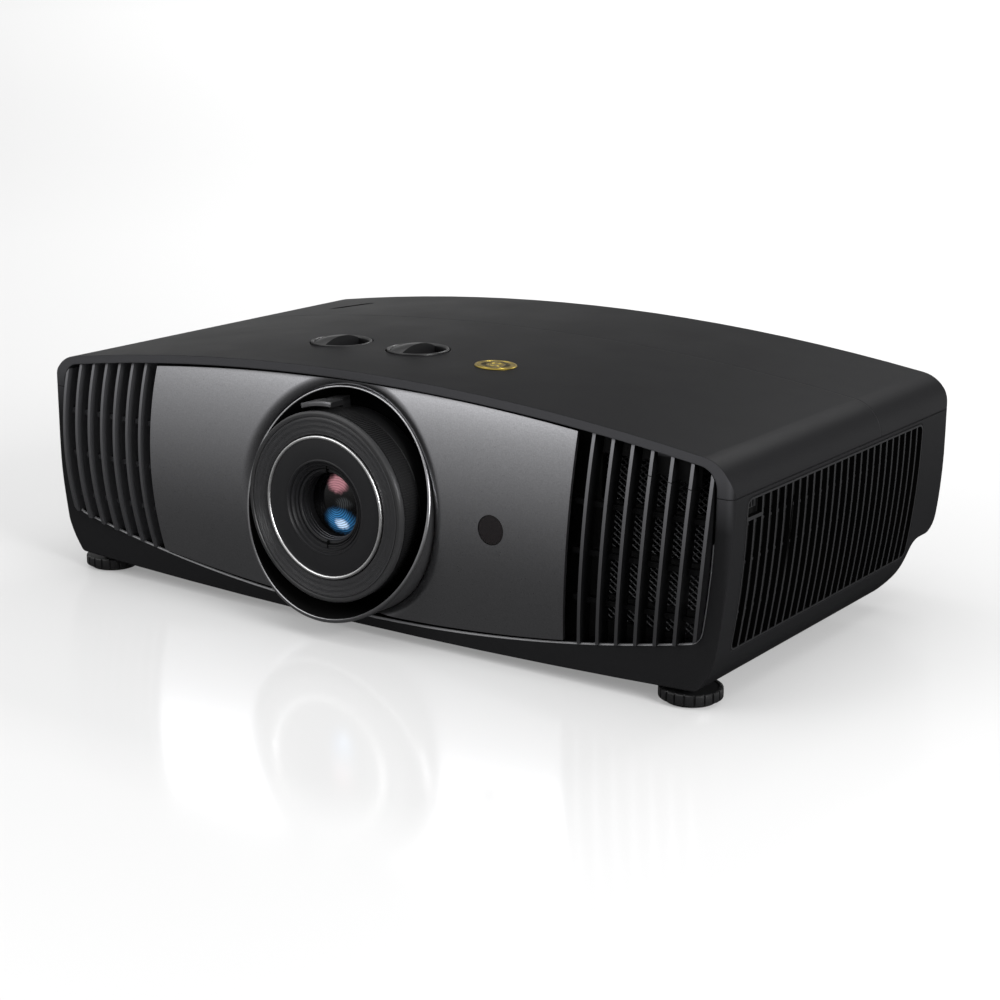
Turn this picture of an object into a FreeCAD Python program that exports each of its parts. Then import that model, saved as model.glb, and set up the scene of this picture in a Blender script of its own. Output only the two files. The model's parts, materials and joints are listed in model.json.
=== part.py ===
import FreeCAD, Part
import math
import os

V = FreeCAD.Vector
X, Y, Z = V(1, 0, 0), V(0, 1, 0), V(0, 0, 1)

# A lamp projector with a wide low case. Millimetres, +Z up, the lens looks along -Y.
# The origin is on the floor, under the middle of the whole object's box.

# ---- case: the driving sizes ----
case_width = 493.4
case_depth = 274.0
case_top = 156.4            # highest point of the crowned top
case_bottom = 5.5           # lowest point of the arched bottom
wall = 2.8
lens_overhang = 25.5        # how far the lens collar stands out of the front
seam_height = 118.5         # the joint between the top covers and the tub
seam_gap = 0.3
cover_seam_from_rear = 97.0  # the joint between the hood and the lamp cover

crown_radius = 1524.0
shoulder_radius = 21.0
flank_radius = 495.0        # the slow inward curve of each side
tuck_radius = 44.0          # the faster curve below it
tuck_slope = math.radians(40)
tuck_inset = 17.7           # how far in the lower edge is
tuck_rise = 6.5
edge_radius = 4.0
belly_radius = 4600.0
chin_radius = 29.0          # plan radius of the front corners at the bottom
chin_height = 31.0

heel_height = 34.5          # the rear wall ends here, above the bottom
heel_radius = 11.0
heel_depth = 21.0
heel_slope = ((34.0, 25.5), (39.0, 15.5), (47.0, 9.5), (59.0, 6.0))

# ---- front ----
lip = 5.0                   # frame above the opening
side_band = 9.5
sill_height = 5.6           # frame below the opening, at the middle
sill_radius = 996.0
opening_top_radius = 12.0
opening_low_radius = 10.0
rim_depth = 18.0
rim_wall = 1.6
fascia_to_slat = 10.0       # from the fascia's edge to the first slat
fascia_gap = 2.3
fascia_wall = 2.5
bulge = 7.0                 # how far the fascia stands out at its middle height
bulge_radius = 232.0
slats_per_side = 7
slat_pitch = 12.35          # on the right; the lens and fascia sit left of the middle
slat_pitch_left = 11.04
slat_last_from_side = 12.1
slat_wall = 2.0
slat_depth = 13.0
slat_set_back = 0.6
slat_run = 9.5              # a slat's own depth, along the bulge
rib_height = 3.0
rib_heights = (42.5, 69.5, 96.5)
rib_depth = 3.0
mesh_wall = 0.8
subframe_wall = 3.0
tab_slats = (3, 4, 5)
tab_drop = 13.5
tab_travel = 2.5
tab_plate = 1.6
ir_radius = 8.3
ir_from_middle = 100.0
ir_above_lens = 1.5

# ---- lens ----
lens_x = -8.0
lens_above_bottom = 73.5
collar_room = 4.35          # between the lever tab and the collar
collar_wall = 1.6
collar_top_out = -6.0       # the rim leans: at its top it sits this far behind the front
focus_grip = 10.2           # from the focus ring's bearing to its grip
focus_depth = 20.0
focus_lip = 3.0
sleeve_wall = 3.8
focus_out = 21.0            # front of the focus ring, ahead of the case
accent_width = 1.7
accent_wall = 1.2
cell_radius = 42.5
cell_depth = 16.0
cell_tail = 10.0
cell_tail_radius = 21.0
cell_step_radii = (25.5, 22.5)
cell_step_depths = (2.0, 5.0)
glass_radius = 19.5
glass_wall = 5.0
glass_depth = 10.0
zoom_depth = 13.0
zoom_tab_angle = math.radians(8)
zoom_tab_half = math.radians(10.5)
zoom_tab_gap = 1.9          # over the focus ring
zoom_tab_wall = 3.0
barrel_wall = 4.0
barrel_length = 62.0
zoom_group_depth = 14.0
focus_travel = 1.5
plate_wall = 4.0
plate_gap = 6.0
rod_radius = 3.0
rod_low = 64.0
rod_high = 63.0
lug = 11.0
lug_skin = 0.6
baffle_wall = 1.5

# ---- running clearances ----
free = 0.3                  # between bodies that pass each other
running = 0.05              # a shaft in its bearing

# ---- controls on the top ----
dial_radius = 19.0
dial_wall = 5.0
dial_dome = 3.7
dial_pocket = 4.0
dial_rim = 2.2
dial_gap = 0.9
dial_behind_front = 75.5
dial_from_lens = (-63.0, -3.8)
dial_shaft = 3.0
dial_shaft_length = 18.0
badge_radius = 12.5
badge_wall = 1.2
badge_proud = 0.5
badge_x = 51.4
badge_behind_front = 67.0
grip_length = 34.0
grip_width = 7.0
grip_depth = 1.2

# ---- side grilles ----
vent_front = 16.0           # from the case's front
vent_rear = 37.5            # from the case's rear
vent_low = 31.0
vent_below_seam = 2.5
vent_pitch = 8.6
vent_slat = 1.8
vent_border = 1.2
vent_corner = 5.0
latch_slots = 2
latch_height = 9.0
latch_bar = 2.0
latch_travel = 3.0
filter_wall = 8.0
filter_lead = 7.0           # the filter starts this far behind the window's front
filter_in = 10.5            # its outer face, in from the case's side

# ---- rear ----
panel_from_left = 95.0
panel_width = 285.0
panel_low = 57.0
panel_height = 53.0
panel_wall = 2.4
inlet = (27.0, 20.0, 17.0)
inlet_mouth = (24.5, 17.0, 15.0)
hdmi = (17.0, 8.0, 12.0)
hdmi_mouth = (14.2, 4.8, 9.5)
usb = (14.6, 8.0, 14.0)
usb_mouth = (12.6, 5.2, 11.0)
lan = (16.0, 14.0, 16.0)
lan_mouth = (11.9, 9.0, 12.0)
panel_flange = 5.0
jack_radius = 4.0
jack_bore = 1.8
jack_length = 12.0
socket_proud = 0.6

# ---- insides ----
board_wall = 1.6
board_top = 62.0
board_from_panel = 6.0      # behind the panel's left end
board_depth = 78.0
board_to_lamp = 36.4
supply_size = (56.0, 30.0)
supply_from_side = 22.0
supply_from_front = 42.0
supply_seat = 30.0
mount_seat = 14.5
mount_foot_length = 16.0
engine_seat = 30.0
engine_depth = 56.0
engine_height = 91.0
engine_reach = (-55.0, 60.0)
engine_wall = 4.0
fan_size = 80.0
fan_wall = 25.0
fan_bore = 37.5
fan_hub = 14.0
fan_axle = 1.5
fan_blades = 7
fan_centre = 76.0
fan_gap = 1.0
exhaust_from_side = 17.0
lamp_fan_from_side = 90.0
lamp_fan_from_front = 52.0
lamp_size = (78.0, 62.0, 80.0)
lamp_from_side = 42.0
lamp_from_rear = 30.0
lamp_seat = 42.0
lamp_wall = 3.0
wheel_radius = 24.0
wheel_wall = 1.1
wheel_gap = 16.0
wheel_seat = 26.0

# ---- screws ----
screw_from_side = 40.0
screw_from_front = 30.0
screw_radius = 1.5
screw_head = 2.8
screw_head_wall = 2.4
screw_head_seat = 16.0
screw_boss = 4.5
screw_reach = 12.0

# ---- keypad on the left side ----
key_radius = 4.2
nav_radius = 8.5
key_flange = 1.0
key_proud = 0.9
key_recess = 1.2
keypad_half_width = 11.0
keypad_from_rear = 19.0
key_heights = {"key_power": 103.0, "key_menu": 90.0, "key_select": 73.0, "key_back": 56.0}
keypad_low = 48.0
keypad_high = 111.0

# ---- feet ----
foot_from_side = 30.4
rear_foot_from_side = 56.7
rear_foot_pin = 5.0
rear_foot_radius = 14.0
foot_front = 16.0
foot_rear = 93.0
foot_radius = 17.7
foot_top = 8.0
foot_base = 1.9
foot_notches = 20
pad_radius = 14.5
pad_wall = 1.6
pad_pin = 4.0
pad_pin_length = 3.2
stud_radius = 3.0
stud_spare = 2.1            # free bore above the stud
boss_radius = 8.0
boss_gap = 1.05             # below the frame of the front opening

# ---- ceiling mount ----
mount_x = 130.0
mount_spread_y = 110.0
mount_y = -5.0
mount_bore = 2.0
mount_sleeve = 4.0
mount_depth = 12.0

y_rear = (case_depth + lens_overhang) / 2
y_front = y_rear - case_depth
y_cover_seam = y_rear - cover_seam_from_rear
lens_z = case_bottom + lens_above_bottom
half_width = case_width / 2
flank_z = seam_height - 0.5
vent_high = seam_height - vent_below_seam
y_vent = (y_front + vent_front, y_rear - vent_rear)
far = 2 * case_width
slat_first = half_width - slat_last_from_side - (slats_per_side - 1) * slat_pitch
slat_first_left = half_width - slat_last_from_side - (slats_per_side - 1) * slat_pitch_left
fascia_right = slat_first - fascia_to_slat
fascia_left = slat_first_left - fascia_to_slat
accent_radius = cell_radius - 0.2
focus_bearing = cell_radius + sleeve_wall
focus_radius = focus_bearing + focus_grip
zoom_radius = focus_radius - 2.0
zoom_tab_inner = focus_radius + zoom_tab_gap
zoom_tab_outer = zoom_tab_inner + zoom_tab_wall
collar_radius = zoom_tab_outer + collar_room + collar_wall
barrel_radius = cell_radius - 1.5
barrel_bore = barrel_radius - barrel_wall
zoom_group_radius = barrel_bore - 0.4
rod_spread = barrel_radius + 21.0
cross_spread = barrel_radius + 9.0
mount_foot_x = rod_spread - 12.0
fan_seat = fan_centre - fan_size / 2
exhaust_from_front = supply_from_front + supply_size[1] + fan_gap + fan_size / 2
board_width = case_width - panel_from_left - board_from_panel - lamp_from_side - lamp_size[0] - board_to_lamp
foot_inner = half_width - foot_from_side - boss_radius
boss_height = (case_bottom + sill_height + sill_radius - math.sqrt(sill_radius ** 2 - foot_inner ** 2)
               - boss_gap)
stud_length = boss_height - foot_base - stud_spare

y_focus = y_front - focus_out
y_cell = y_focus + 0.8
y_barrel = y_cell + cell_depth + focus_travel + free
y_zoom = y_barrel + 2.0 + free
y_flange = y_front + rim_depth + subframe_wall + 2.5
y_side_plate = y_flange + baffle_wall + plate_gap
y_up_plate = y_side_plate + plate_wall + plate_gap + 1
y_mount = y_up_plate + plate_wall + plate_gap + 1
y_engine = y_mount + plate_wall + 8
engine_x = (lens_x + engine_reach[0], lens_x + engine_reach[1])


# ---- plain solids ----
def box(x0, x1, y0, y1, z0, z1):
    low = V(min(x0, x1), min(y0, y1), min(z0, z1))
    return Part.makeBox(abs(x1 - x0), abs(y1 - y0), abs(z1 - z0), low)


def rod(x, y, z, radius, length, axis):
    return Part.makeCylinder(radius, length, V(x, y, z), axis)


def tube(x, y, z, outer, inner, length, axis):
    start = V(x, y, z) - axis
    return rod(x, y, z, outer, length, axis).cut(Part.makeCylinder(inner, length + 2, start, axis))


def join(shapes):
    whole = shapes[0].multiFuse(shapes[1:]) if len(shapes) > 1 else shapes[0]
    return whole.removeSplitter()


def group(shapes):
    return Part.makeCompound(shapes)


def slotted(y0, y1, z0, z1, x0, x1, radius):
    """A prism along X whose four corners are rounded."""
    block = box(x0, x1, y0, y1, z0, z1)
    along = [e for e in block.Edges if abs(e.tangentAt(e.FirstParameter).x) > 0.9]
    return block.makeFillet(radius, along)


# ---- outlines bounded by arcs, in the XZ plane ----
def corner_centre(one, two, radius, hint):
    """Centre of the arc that rounds the corner between two discs, on the hint's side."""
    (x1, z1, r1), (x2, z2, r2) = one, two
    a, b = r1 - radius, r2 - radius
    dx, dz = x2 - x1, z2 - z1
    apart = math.hypot(dx, dz)
    along = (a * a - b * b + apart * apart) / (2 * apart)
    off = math.sqrt(max(a * a - along * along, 0))
    mid = (x1 + along * dx / apart, z1 + along * dz / apart)
    ends = [(mid[0] - s * off * dz / apart, mid[1] + s * off * dx / apart) for s in (1, -1)]
    return max(ends, key=lambda p: p[0] * hint[0] + p[1] * hint[1])


def on_disc(disc, toward):
    """Where the line from a disc's centre through a point meets the disc's edge."""
    dx, dz = toward[0] - disc[0], toward[1] - disc[1]
    scale = disc[2] / math.hypot(dx, dz)
    return disc[0] + dx * scale, disc[1] + dz * scale


def arc(disc, start, end, y):
    middle = ((start[0] + end[0]) / 2, (start[1] + end[1]) / 2)
    top = on_disc(disc, middle)
    points = [V(p[0], y, p[1]) for p in (start, top, end)]
    return Part.Arc(*points).toShape()


def outline(discs, radii, hints, y0, y1):
    """A prism along Y over the space inside all the discs, its corners rounded."""
    count = len(discs)
    pairs = []
    for i, radius in enumerate(radii):
        one, two = discs[i], discs[(i + 1) % count]
        centre = corner_centre(one, two, radius, hints[i])
        pairs.append(((centre[0], centre[1], radius), on_disc(one, centre), on_disc(two, centre)))
    edges = []
    for i in range(count):
        edges.append(arc(discs[i], pairs[i - 1][2], pairs[i][1], y0))
        edges.append(arc(pairs[i][0], pairs[i][1], pairs[i][2], y0))
    return Part.Face(Part.Wire(edges)).extrude(V(0, y1 - y0, 0))


def mirrored(disc):
    return -disc[0], disc[1], disc[2]


def case_prism(inset, y0, y1):
    """The case's cross-section: crown, flanks, tucks and belly."""
    crown = (0, case_top - crown_radius, crown_radius - inset)
    flank = (half_width - flank_radius, flank_z, flank_radius - inset)
    line = 3 * flank_radius
    tuck = (half_width - tuck_inset - line * math.cos(tuck_slope),
            case_bottom + tuck_rise + line * math.sin(tuck_slope), line - inset)
    belly = (0, case_bottom + belly_radius, belly_radius - inset)
    discs = [crown, flank, tuck, belly, mirrored(tuck), mirrored(flank)]
    shoulder, low = shoulder_radius - inset, tuck_radius - inset
    edge = max(edge_radius - inset, 1.0)
    radii = [shoulder, low, edge, edge, low, shoulder]
    hints = [(1, 1), (1, -1), (1, -1), (-1, -1), (-1, -1), (-1, 1)]
    return outline(discs, radii, hints, y0, y1)


def opening_prism(inset, y0, y1):
    """The front opening: it follows the crown, the flanks and its own arched sill."""
    crown = (0, case_top - crown_radius, crown_radius - lip - inset)
    flank = (half_width - flank_radius, flank_z, flank_radius - side_band - inset)
    sill = (0, case_bottom + sill_height + sill_radius, sill_radius - inset)
    discs = [crown, flank, sill, mirrored(flank)]
    top = opening_top_radius - inset
    low = opening_low_radius - inset
    return outline(discs, [top, low, low, top], [(1, 1), (1, -1), (-1, -1), (-1, 1)], y0, y1)


def upright(x_top, y0, y1, inset=0):
    """The space on the inner side of an upright that leans in as the flanks do."""
    radius = flank_radius * half_width / x_top
    return rod(x_top - radius, y0, flank_z, radius - inset, y1 - y0, Y)


# ---- case shells ----
def rounded_plan(inset, radius, z):
    x, y0, y1 = half_width - inset, y_front + inset, y_rear - inset
    r = max(radius - inset, 1.0)
    corners = ((x, y0, -90), (x, y1, 0), (-x, y1, 90), (-x, y0, 180))
    points = []
    for cx, cy, turn in corners:
        mx, my = cx - math.copysign(r, cx), (cy + r if cy < 0 else cy - r)
        row = [math.radians(turn + a) for a in (0, 45, 90)]
        points.append([V(mx + r * math.cos(a), my + r * math.sin(a), z) for a in row])
    edges = []
    for i, row in enumerate(points):
        edges.append(Part.Arc(*row).toShape())
        edges.append(Part.makeLine(row[2], points[(i + 1) % 4][0]))
    return Part.Wire(edges)


def plan_tool(inset):
    """Plan shape: the corners are small above and draw in towards the bottom."""
    low = rounded_plan(inset, chin_radius, case_bottom - 2)
    high = rounded_plan(inset, edge_radius, case_bottom + chin_height)
    skirt = Part.makeLoft([low, high], True, True)
    upper = Part.Face(high).extrude(V(0, 0, case_top))
    return join([skirt, upper])


def heel_tool(inset):
    """What is cut away below the rear: a step, then a convex slope to the bottom."""
    z0 = case_bottom + heel_height
    y1 = y_rear - heel_depth
    radius = heel_radius - inset
    y_wall, z_step = y_rear - inset, z0 + inset
    start = V(0, y_rear + 10, z0 + heel_radius)
    bend = [V(0, y_wall - radius + radius * math.cos(a), z_step + radius - radius * math.sin(a))
            for a in (0, math.pi / 4, math.pi / 2)]
    slope = [V(0, y_rear - y - inset * 0.5, case_bottom + z + inset * 0.7) for y, z in heel_slope]
    step_end = V(0, y1 - inset * 0.5, z_step)
    curve = Part.BSplineCurve()
    curve.interpolate([step_end] + slope)
    last = V(0, slope[-1].y - 10, case_bottom - 20)
    floor = V(0, y_rear + 10, case_bottom - 20)
    edges = [Part.makeLine(start, bend[0]), Part.Arc(*bend).toShape(),
             Part.makeLine(bend[2], step_end), curve.toShape(),
             Part.makeLine(slope[-1], last), Part.makeLine(last, floor),
             Part.makeLine(floor, start)]
    tool = Part.Face(Part.Wire(edges)).extrude(V(far, 0, 0))
    tool.translate(V(-far / 2, 0, 0))
    return tool


def case_solid(inset):
    body = case_prism(inset, y_front + inset, y_rear - inset)
    return body.common(plan_tool(inset)).cut(heel_tool(inset))


def side_window(side, grow=0.0, x0=None):
    inner = half_width - 60 if x0 is None else x0
    return slotted(y_vent[0] - grow, y_vent[1] + grow, vent_low - grow, vent_high + grow,
                   side * inner, side * (half_width + 20), vent_corner + grow)


def flank_x(z):
    """Half-width of the case's outer side at a height."""
    return half_width - flank_radius + math.sqrt(flank_radius ** 2 - (flank_z - z) ** 2)


def belly_z(x):
    """Height of the arched bottom at a distance from the middle."""
    return case_bottom + belly_radius - math.sqrt(belly_radius ** 2 - x * x)


def crown_z(x):
    """Height of the crowned top at a distance from the middle."""
    return case_top - crown_radius + math.sqrt(crown_radius ** 2 - x * x)


def panel_box(grow, y0, y1):
    x0 = -half_width + panel_from_left
    return box(x0 - grow, x0 + panel_width + grow, y0, y1,
               panel_low - grow, panel_low + panel_height + grow)


def foot_places():
    """The two adjustable feet at the front."""
    x, y = half_width - foot_from_side, y_front + foot_front
    return {"left": (-x, y), "right": (x, y)}


def rear_feet():
    """Two fixed feet, pressed into the belly."""
    out = []
    for side in (-1, 1):
        x, y = side * (half_width - rear_foot_from_side), y_rear - foot_rear
        pad = rod(x, y, 0, rear_foot_radius, belly_z(abs(x) - rear_foot_radius) - 0.1, Z)
        out.append(join([pad, rod(x, y, 0, rear_foot_pin, belly_z(x) + 1.5, Z)]))
    return group(out)


def mount_places():
    return [(sx * mount_x, mount_y + sy * mount_spread_y / 2) for sx in (-1, 1) for sy in (-1, 1)]


def key_size(name):
    return nav_radius if name == "key_select" else key_radius


def keypad_recess():
    """A shallow rounded pocket in the left side, with a hole for each key."""
    y0 = y_rear - keypad_from_rear
    tool = slotted(y0 - keypad_half_width, y0 + keypad_half_width, keypad_low, keypad_high,
                   -half_width - 5, -half_width + 12, keypad_half_width - 1)
    return tool.cut(case_solid(key_recess))


def key_holes():
    y0 = y_rear - keypad_from_rear
    return [rod(-half_width - 5, y0, z, key_size(name) + free, 30, X) for name, z in key_heights.items()]


def key(name):
    """A push key: its face stands in the pocket and a flange holds it behind the wall."""
    y, z, radius = y_rear - keypad_from_rear, key_heights[name], key_size(name)
    face = -flank_x(z) + key_recess - key_proud
    back = -flank_x(z - radius - key_flange) + wall + free
    body = rod(face, y, z, radius, back - face + key_flange, X)
    return join([body, rod(back, y, z, radius + key_flange, key_flange, X)])


outer_case = case_solid(0)
inner_case = case_solid(wall)
shell = outer_case.cut(inner_case)
shell = shell.cut(opening_prism(0, y_front - 5, y_front + wall + 1))
rim = opening_prism(-rim_wall, y_front + wall, y_front + rim_depth)
rim = rim.cut(opening_prism(0, y_front, y_front + rim_depth + 1)).common(outer_case)
shell = join([shell, rim])
shell = shell.cut(panel_box(0, y_rear - 10, y_rear + 5))


def dial_place(i):
    x = lens_x + dial_from_lens[i]
    return x, y_front + dial_behind_front, crown_z(x)


def dial_cup(i):
    """A cup under the hood that the dial sits in."""
    x, y, z = dial_place(i)
    deep = dial_wall + free + wall
    ring = tube(x, y, z - deep, dial_radius + dial_gap + wall * 0.7, dial_radius + dial_gap, deep - 1, Z)
    floor = tube(x, y, z - deep, dial_radius + dial_gap + wall * 0.7, dial_shaft + running, wall, Z)
    return join([ring, floor])


def badge_solid(radius, low, high):
    angle = math.degrees(math.asin(badge_x / crown_radius))
    disc = rod(0, y_front + badge_behind_front, crown_radius + low, radius, high - low, Z)
    disc.rotate(V(0, 0, 0), Y, angle)
    disc.translate(V(0, 0, case_top - crown_radius))
    return disc


def hood():
    whole = shell.common(box(-far, far, y_front - 5, y_cover_seam - seam_gap / 2,
                             seam_height + seam_gap / 2, case_top + 20))
    for i in range(2):
        x, y, z = dial_place(i)
        whole = whole.cut(rod(x, y, z - 15, dial_radius + dial_gap, 30, Z))
        whole = join([whole, dial_cup(i)])
    bosses = [rod(x, y, seam_height + seam_gap / 2, screw_boss, 60, Z).common(outer_case)
              for x, y in screw_places()]
    pilots = [rod(x, y, seam_height - 5, screw_radius, screw_reach + 5, Z) for x, y in screw_places()]
    whole = join([whole] + bosses).cut(group(pilots))
    return whole.cut(badge_solid(badge_radius + 0.1, badge_proud - badge_wall, 5))


def lamp_cover():
    whole = shell.common(box(-far, far, y_cover_seam + seam_gap / 2, y_rear + 5,
                             seam_height + seam_gap / 2, case_top + 20))
    x0, y0 = -half_width + 63.5, y_rear - 49.5
    top = crown_z(x0)
    bar = box(x0 - grip_width / 2, x0 + grip_width / 2, y0 - grip_length / 2, y0 + grip_length / 2,
              top - grip_depth, top + 5)
    ends = [e for e in bar.Edges if abs(e.tangentAt(e.FirstParameter).z) > 0.9]
    groove = bar.makeFillet(grip_width / 2 - 0.1, ends)
    groove.rotate(V(x0, y0, 0), Z, -27)
    return whole.cut(groove)


def post(x0, x1, y0, y1, top):
    """A post that stands on the tub's floor, up to a seat."""
    return box(x0, x1, y0, y1, case_bottom - 5, top).common(outer_case)


def corner_posts(x0, x1, y0, y1, top, inset=8.0):
    half = 3.0
    return [post(x - half, x + half, y - half, y + half, top)
            for x in (x0 + inset, x1 - inset) for y in (y0 + inset, y1 - inset)]


def tub_posts():
    """Seats for everything that stands on the floor of the case."""
    posts = []
    for sx in (-1, 1):
        x = lens_x + sx * mount_foot_x
        posts.append(post(x - 9, x + 9, y_mount + 2, y_mount + mount_foot_length, mount_seat))
    posts += corner_posts(engine_x[0], engine_x[1], y_engine, y_engine + engine_depth, engine_seat)
    x0, x1, y0, y1 = board_plan()
    posts += corner_posts(x0, x1, y0, y1, board_top - board_wall)
    x0, x1, y0, y1 = supply_plan()
    posts += corner_posts(x0, x1, y0, y1, supply_seat)
    x0, y0 = lamp_corner()
    posts += corner_posts(x0, x0 + lamp_size[0], y0, y0 + lamp_size[1], lamp_seat)
    h = fan_size / 2
    x, y = exhaust_place()
    posts += [post(x, x + fan_wall, y + s * (h - 12) - 6, y + s * (h - 12) + 6, fan_seat) for s in (-1, 1)]
    x, y = lamp_fan_place()
    posts += [post(x + s * (h - 12) - 6, x + s * (h - 12) + 6, y, y + fan_wall, fan_seat) for s in (-1, 1)]
    x, y = wheel_place()
    posts.append(post(x + 8, x + 14, y - 4, y + 4, wheel_seat))
    return posts


def screw_places():
    x = half_width - screw_from_side
    return [(s * x, y) for s in (-1, 1) for y in (y_front + screw_from_front, y_cover_seam - 12)]


def case_screws():
    """Screws up through the tub into the hood."""
    out = []
    for x, y in screw_places():
        head = rod(x, y, screw_head_seat - screw_head_wall, screw_head, screw_head_wall, Z)
        shank = rod(x, y, screw_head_seat - 1, screw_radius, seam_height + screw_reach - screw_head_seat, Z)
        slot = box(x - 2.2, x + 2.2, y - 0.5, y + 0.5, screw_head_seat - 5, screw_head_seat - 1.4)
        cross = box(x - 0.5, x + 0.5, y - 2.2, y + 2.2, screw_head_seat - 5, screw_head_seat - 1.4)
        out.append(join([head, shank]).cut(slot).cut(cross))
    return group(out)


def tub():
    whole = shell.common(box(-far, far, y_front - 5, y_rear + 5, -20, seam_height - seam_gap / 2))
    whole = whole.cut(side_window(1, free)).cut(side_window(-1, 0))
    whole = whole.cut(keypad_recess()).cut(group(key_holes()))
    top = seam_height - seam_gap / 2
    bosses = [rod(x, y, 0, boss_radius, boss_height, Z) for x, y in foot_places().values()]
    bosses += [rod(x, y, 0, mount_sleeve + 3, mount_depth + 10, Z) for x, y in mount_places()]
    bosses += [rod(x, y, 0, screw_boss, top, Z) for x, y in screw_places()]
    whole = join([whole] + [b.common(outer_case) for b in bosses] + tub_posts())
    bores = [rod(x, y, -1, stud_radius + running, boss_height + 5, Z) for x, y in foot_places().values()]
    bores += [rod(x, y, -1, mount_sleeve + 0.02, mount_depth + 9, Z) for x, y in mount_places()]
    bores += [rod(s * (half_width - rear_foot_from_side), y_rear - foot_rear, -1, rear_foot_pin + 0.02, 20, Z)
              for s in (-1, 1)]
    for x, y in screw_places():
        bores.append(rod(x, y, -1, screw_head + 0.2, screw_head_seat + 1, Z))
        bores.append(rod(x, y, -1, screw_radius + 0.1, far, Z))
    whole = whole.cut(group(bores))
    return whole.cut(rod(lens_x, y_front - 5, lens_z, collar_radius + 0.2, rim_depth + 10, Y))


def mount_inserts():
    """Threaded sleeves flush with the belly, for a ceiling bracket."""
    sleeves = []
    for x, y in mount_places():
        low = belly_z(x)
        sleeves.append(tube(x, y, low, mount_sleeve, mount_bore, mount_depth, Z))
    return group(sleeves)


# ---- front ----
def bulge_drum(inset, x0, x1):
    """The drum along X whose front is the fascia's forward arc."""
    y = y_front - bulge + bulge_radius
    return rod(x0, y, (case_top + case_bottom) / 2 - 6, bulge_radius - inset, x1 - x0, X)


def fascia():
    zone = opening_prism(fascia_gap, y_front - 30, y_front + rim_depth)
    zone = zone.common(upright(fascia_right, y_front - 30, y_front + rim_depth))
    left = upright(fascia_left, y_front - 30, y_front + rim_depth)
    zone = zone.common(left.mirror(V(0, 0, 0), X))
    skin = bulge_drum(0, -far / 2, far / 2).cut(bulge_drum(fascia_wall, -far / 2 - 1, far / 2 + 1))
    skin = skin.common(zone)
    hole = rod(lens_x, y_front - 40, lens_z, collar_radius + 0.2, 80, Y)
    eye = rod(ir_from_middle, y_front - 40, lens_z + ir_above_lens, ir_radius + 0.2, 80, Y)
    stand = []
    y_back = y_front + rim_depth
    right, left = fascia_right - 14.0, 14.0 - fascia_left
    for x, z in ((left, 30), (left, 120), (right, 30), (right, 120), (75, 25), (-95, 20)):
        post = rod(x, y_front - 20, z, 4.0, y_back - y_front + 20, Y)
        stand.append(post.common(bulge_drum(1, -far / 2, far / 2)))
    return join([skin] + stand).cut(hole).cut(eye)


def slat_x(i, side=1):
    if side > 0:
        return slat_first + i * slat_pitch
    return slat_first_left + i * slat_pitch_left


def slat(i, side=1):
    x = slat_x(i, side)
    y0, y1 = y_front - bulge - 5, y_front + slat_depth
    strip = upright(x + slat_wall / 2, y0, y1).cut(upright(x + slat_wall / 2, y0 - 1, y1 + 1, slat_wall))
    return strip.common(box(x - 30, x + 10, y0, y1, 0, case_top))


def tab_zone(grow):
    """Top ends of a few slats, cut off along the crown's own curve."""
    x0 = slat_x(tab_slats[0]) - 3.2 - grow
    x1 = slat_x(tab_slats[-1]) + 3.2 + grow
    ring = rod(0, y_front - 30, case_top - crown_radius, crown_radius, 60, Y)
    ring = ring.cut(rod(0, y_front - 31, case_top - crown_radius,
                        crown_radius - lip - tab_drop - grow, 62, Y))
    return ring.common(box(x0, x1, y_front - 30, y_front + 30, seam_height - 20, case_top))


def slat_back(z):
    rise = z - (case_top + case_bottom) / 2 + 6
    return y_front - bulge + bulge_radius - math.sqrt(bulge_radius ** 2 - rise ** 2) + slat_set_back + slat_run


def front_grille(side):
    zone = opening_prism(0.4, y_front - 30, y_front + rim_depth)
    zone = zone.common(bulge_drum(slat_set_back, -far / 2, far / 2))
    x0 = slat_x(0, side) - slat_wall
    x1 = slat_x(slats_per_side - 1, side) + slat_wall * 2
    back = bulge_drum(slat_set_back + slat_run, -far / 2 - 1, far / 2 + 1)
    bars = [slat(i, side).cut(back) for i in range(slats_per_side)]
    for z in rib_heights:
        z += case_bottom
        yb = slat_back(z + rib_height / 2)
        bars.append(box(x0 - 9, x1 + 2, yb - rib_depth, yb, z, z + rib_height))
    grid = join(bars).common(zone)
    if side > 0:
        grid = grid.cut(tab_zone(0.4))
    else:
        grid = grid.mirror(V(0, 0, 0), X)
    return grid


def release_tab():
    zone = opening_prism(0.8, y_front - 30, y_front + rim_depth)
    zone = zone.common(bulge_drum(slat_set_back, -far / 2, far / 2)).common(tab_zone(0))
    x0 = slat_x(tab_slats[0])
    x1 = slat_x(tab_slats[-1])
    y0 = y_front + slat_depth - rib_depth - tab_travel - free - tab_plate
    plate = box(x0 - 3, x1 + 3, y0, y0 + tab_plate, seam_height - 10, case_top)
    stubs = [slat(i) for i in tab_slats]
    shape = join(stubs + [plate]).common(zone)
    return shape.common(box(-far, far, y_front - 30, y0 + tab_plate, 0, far))


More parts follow.
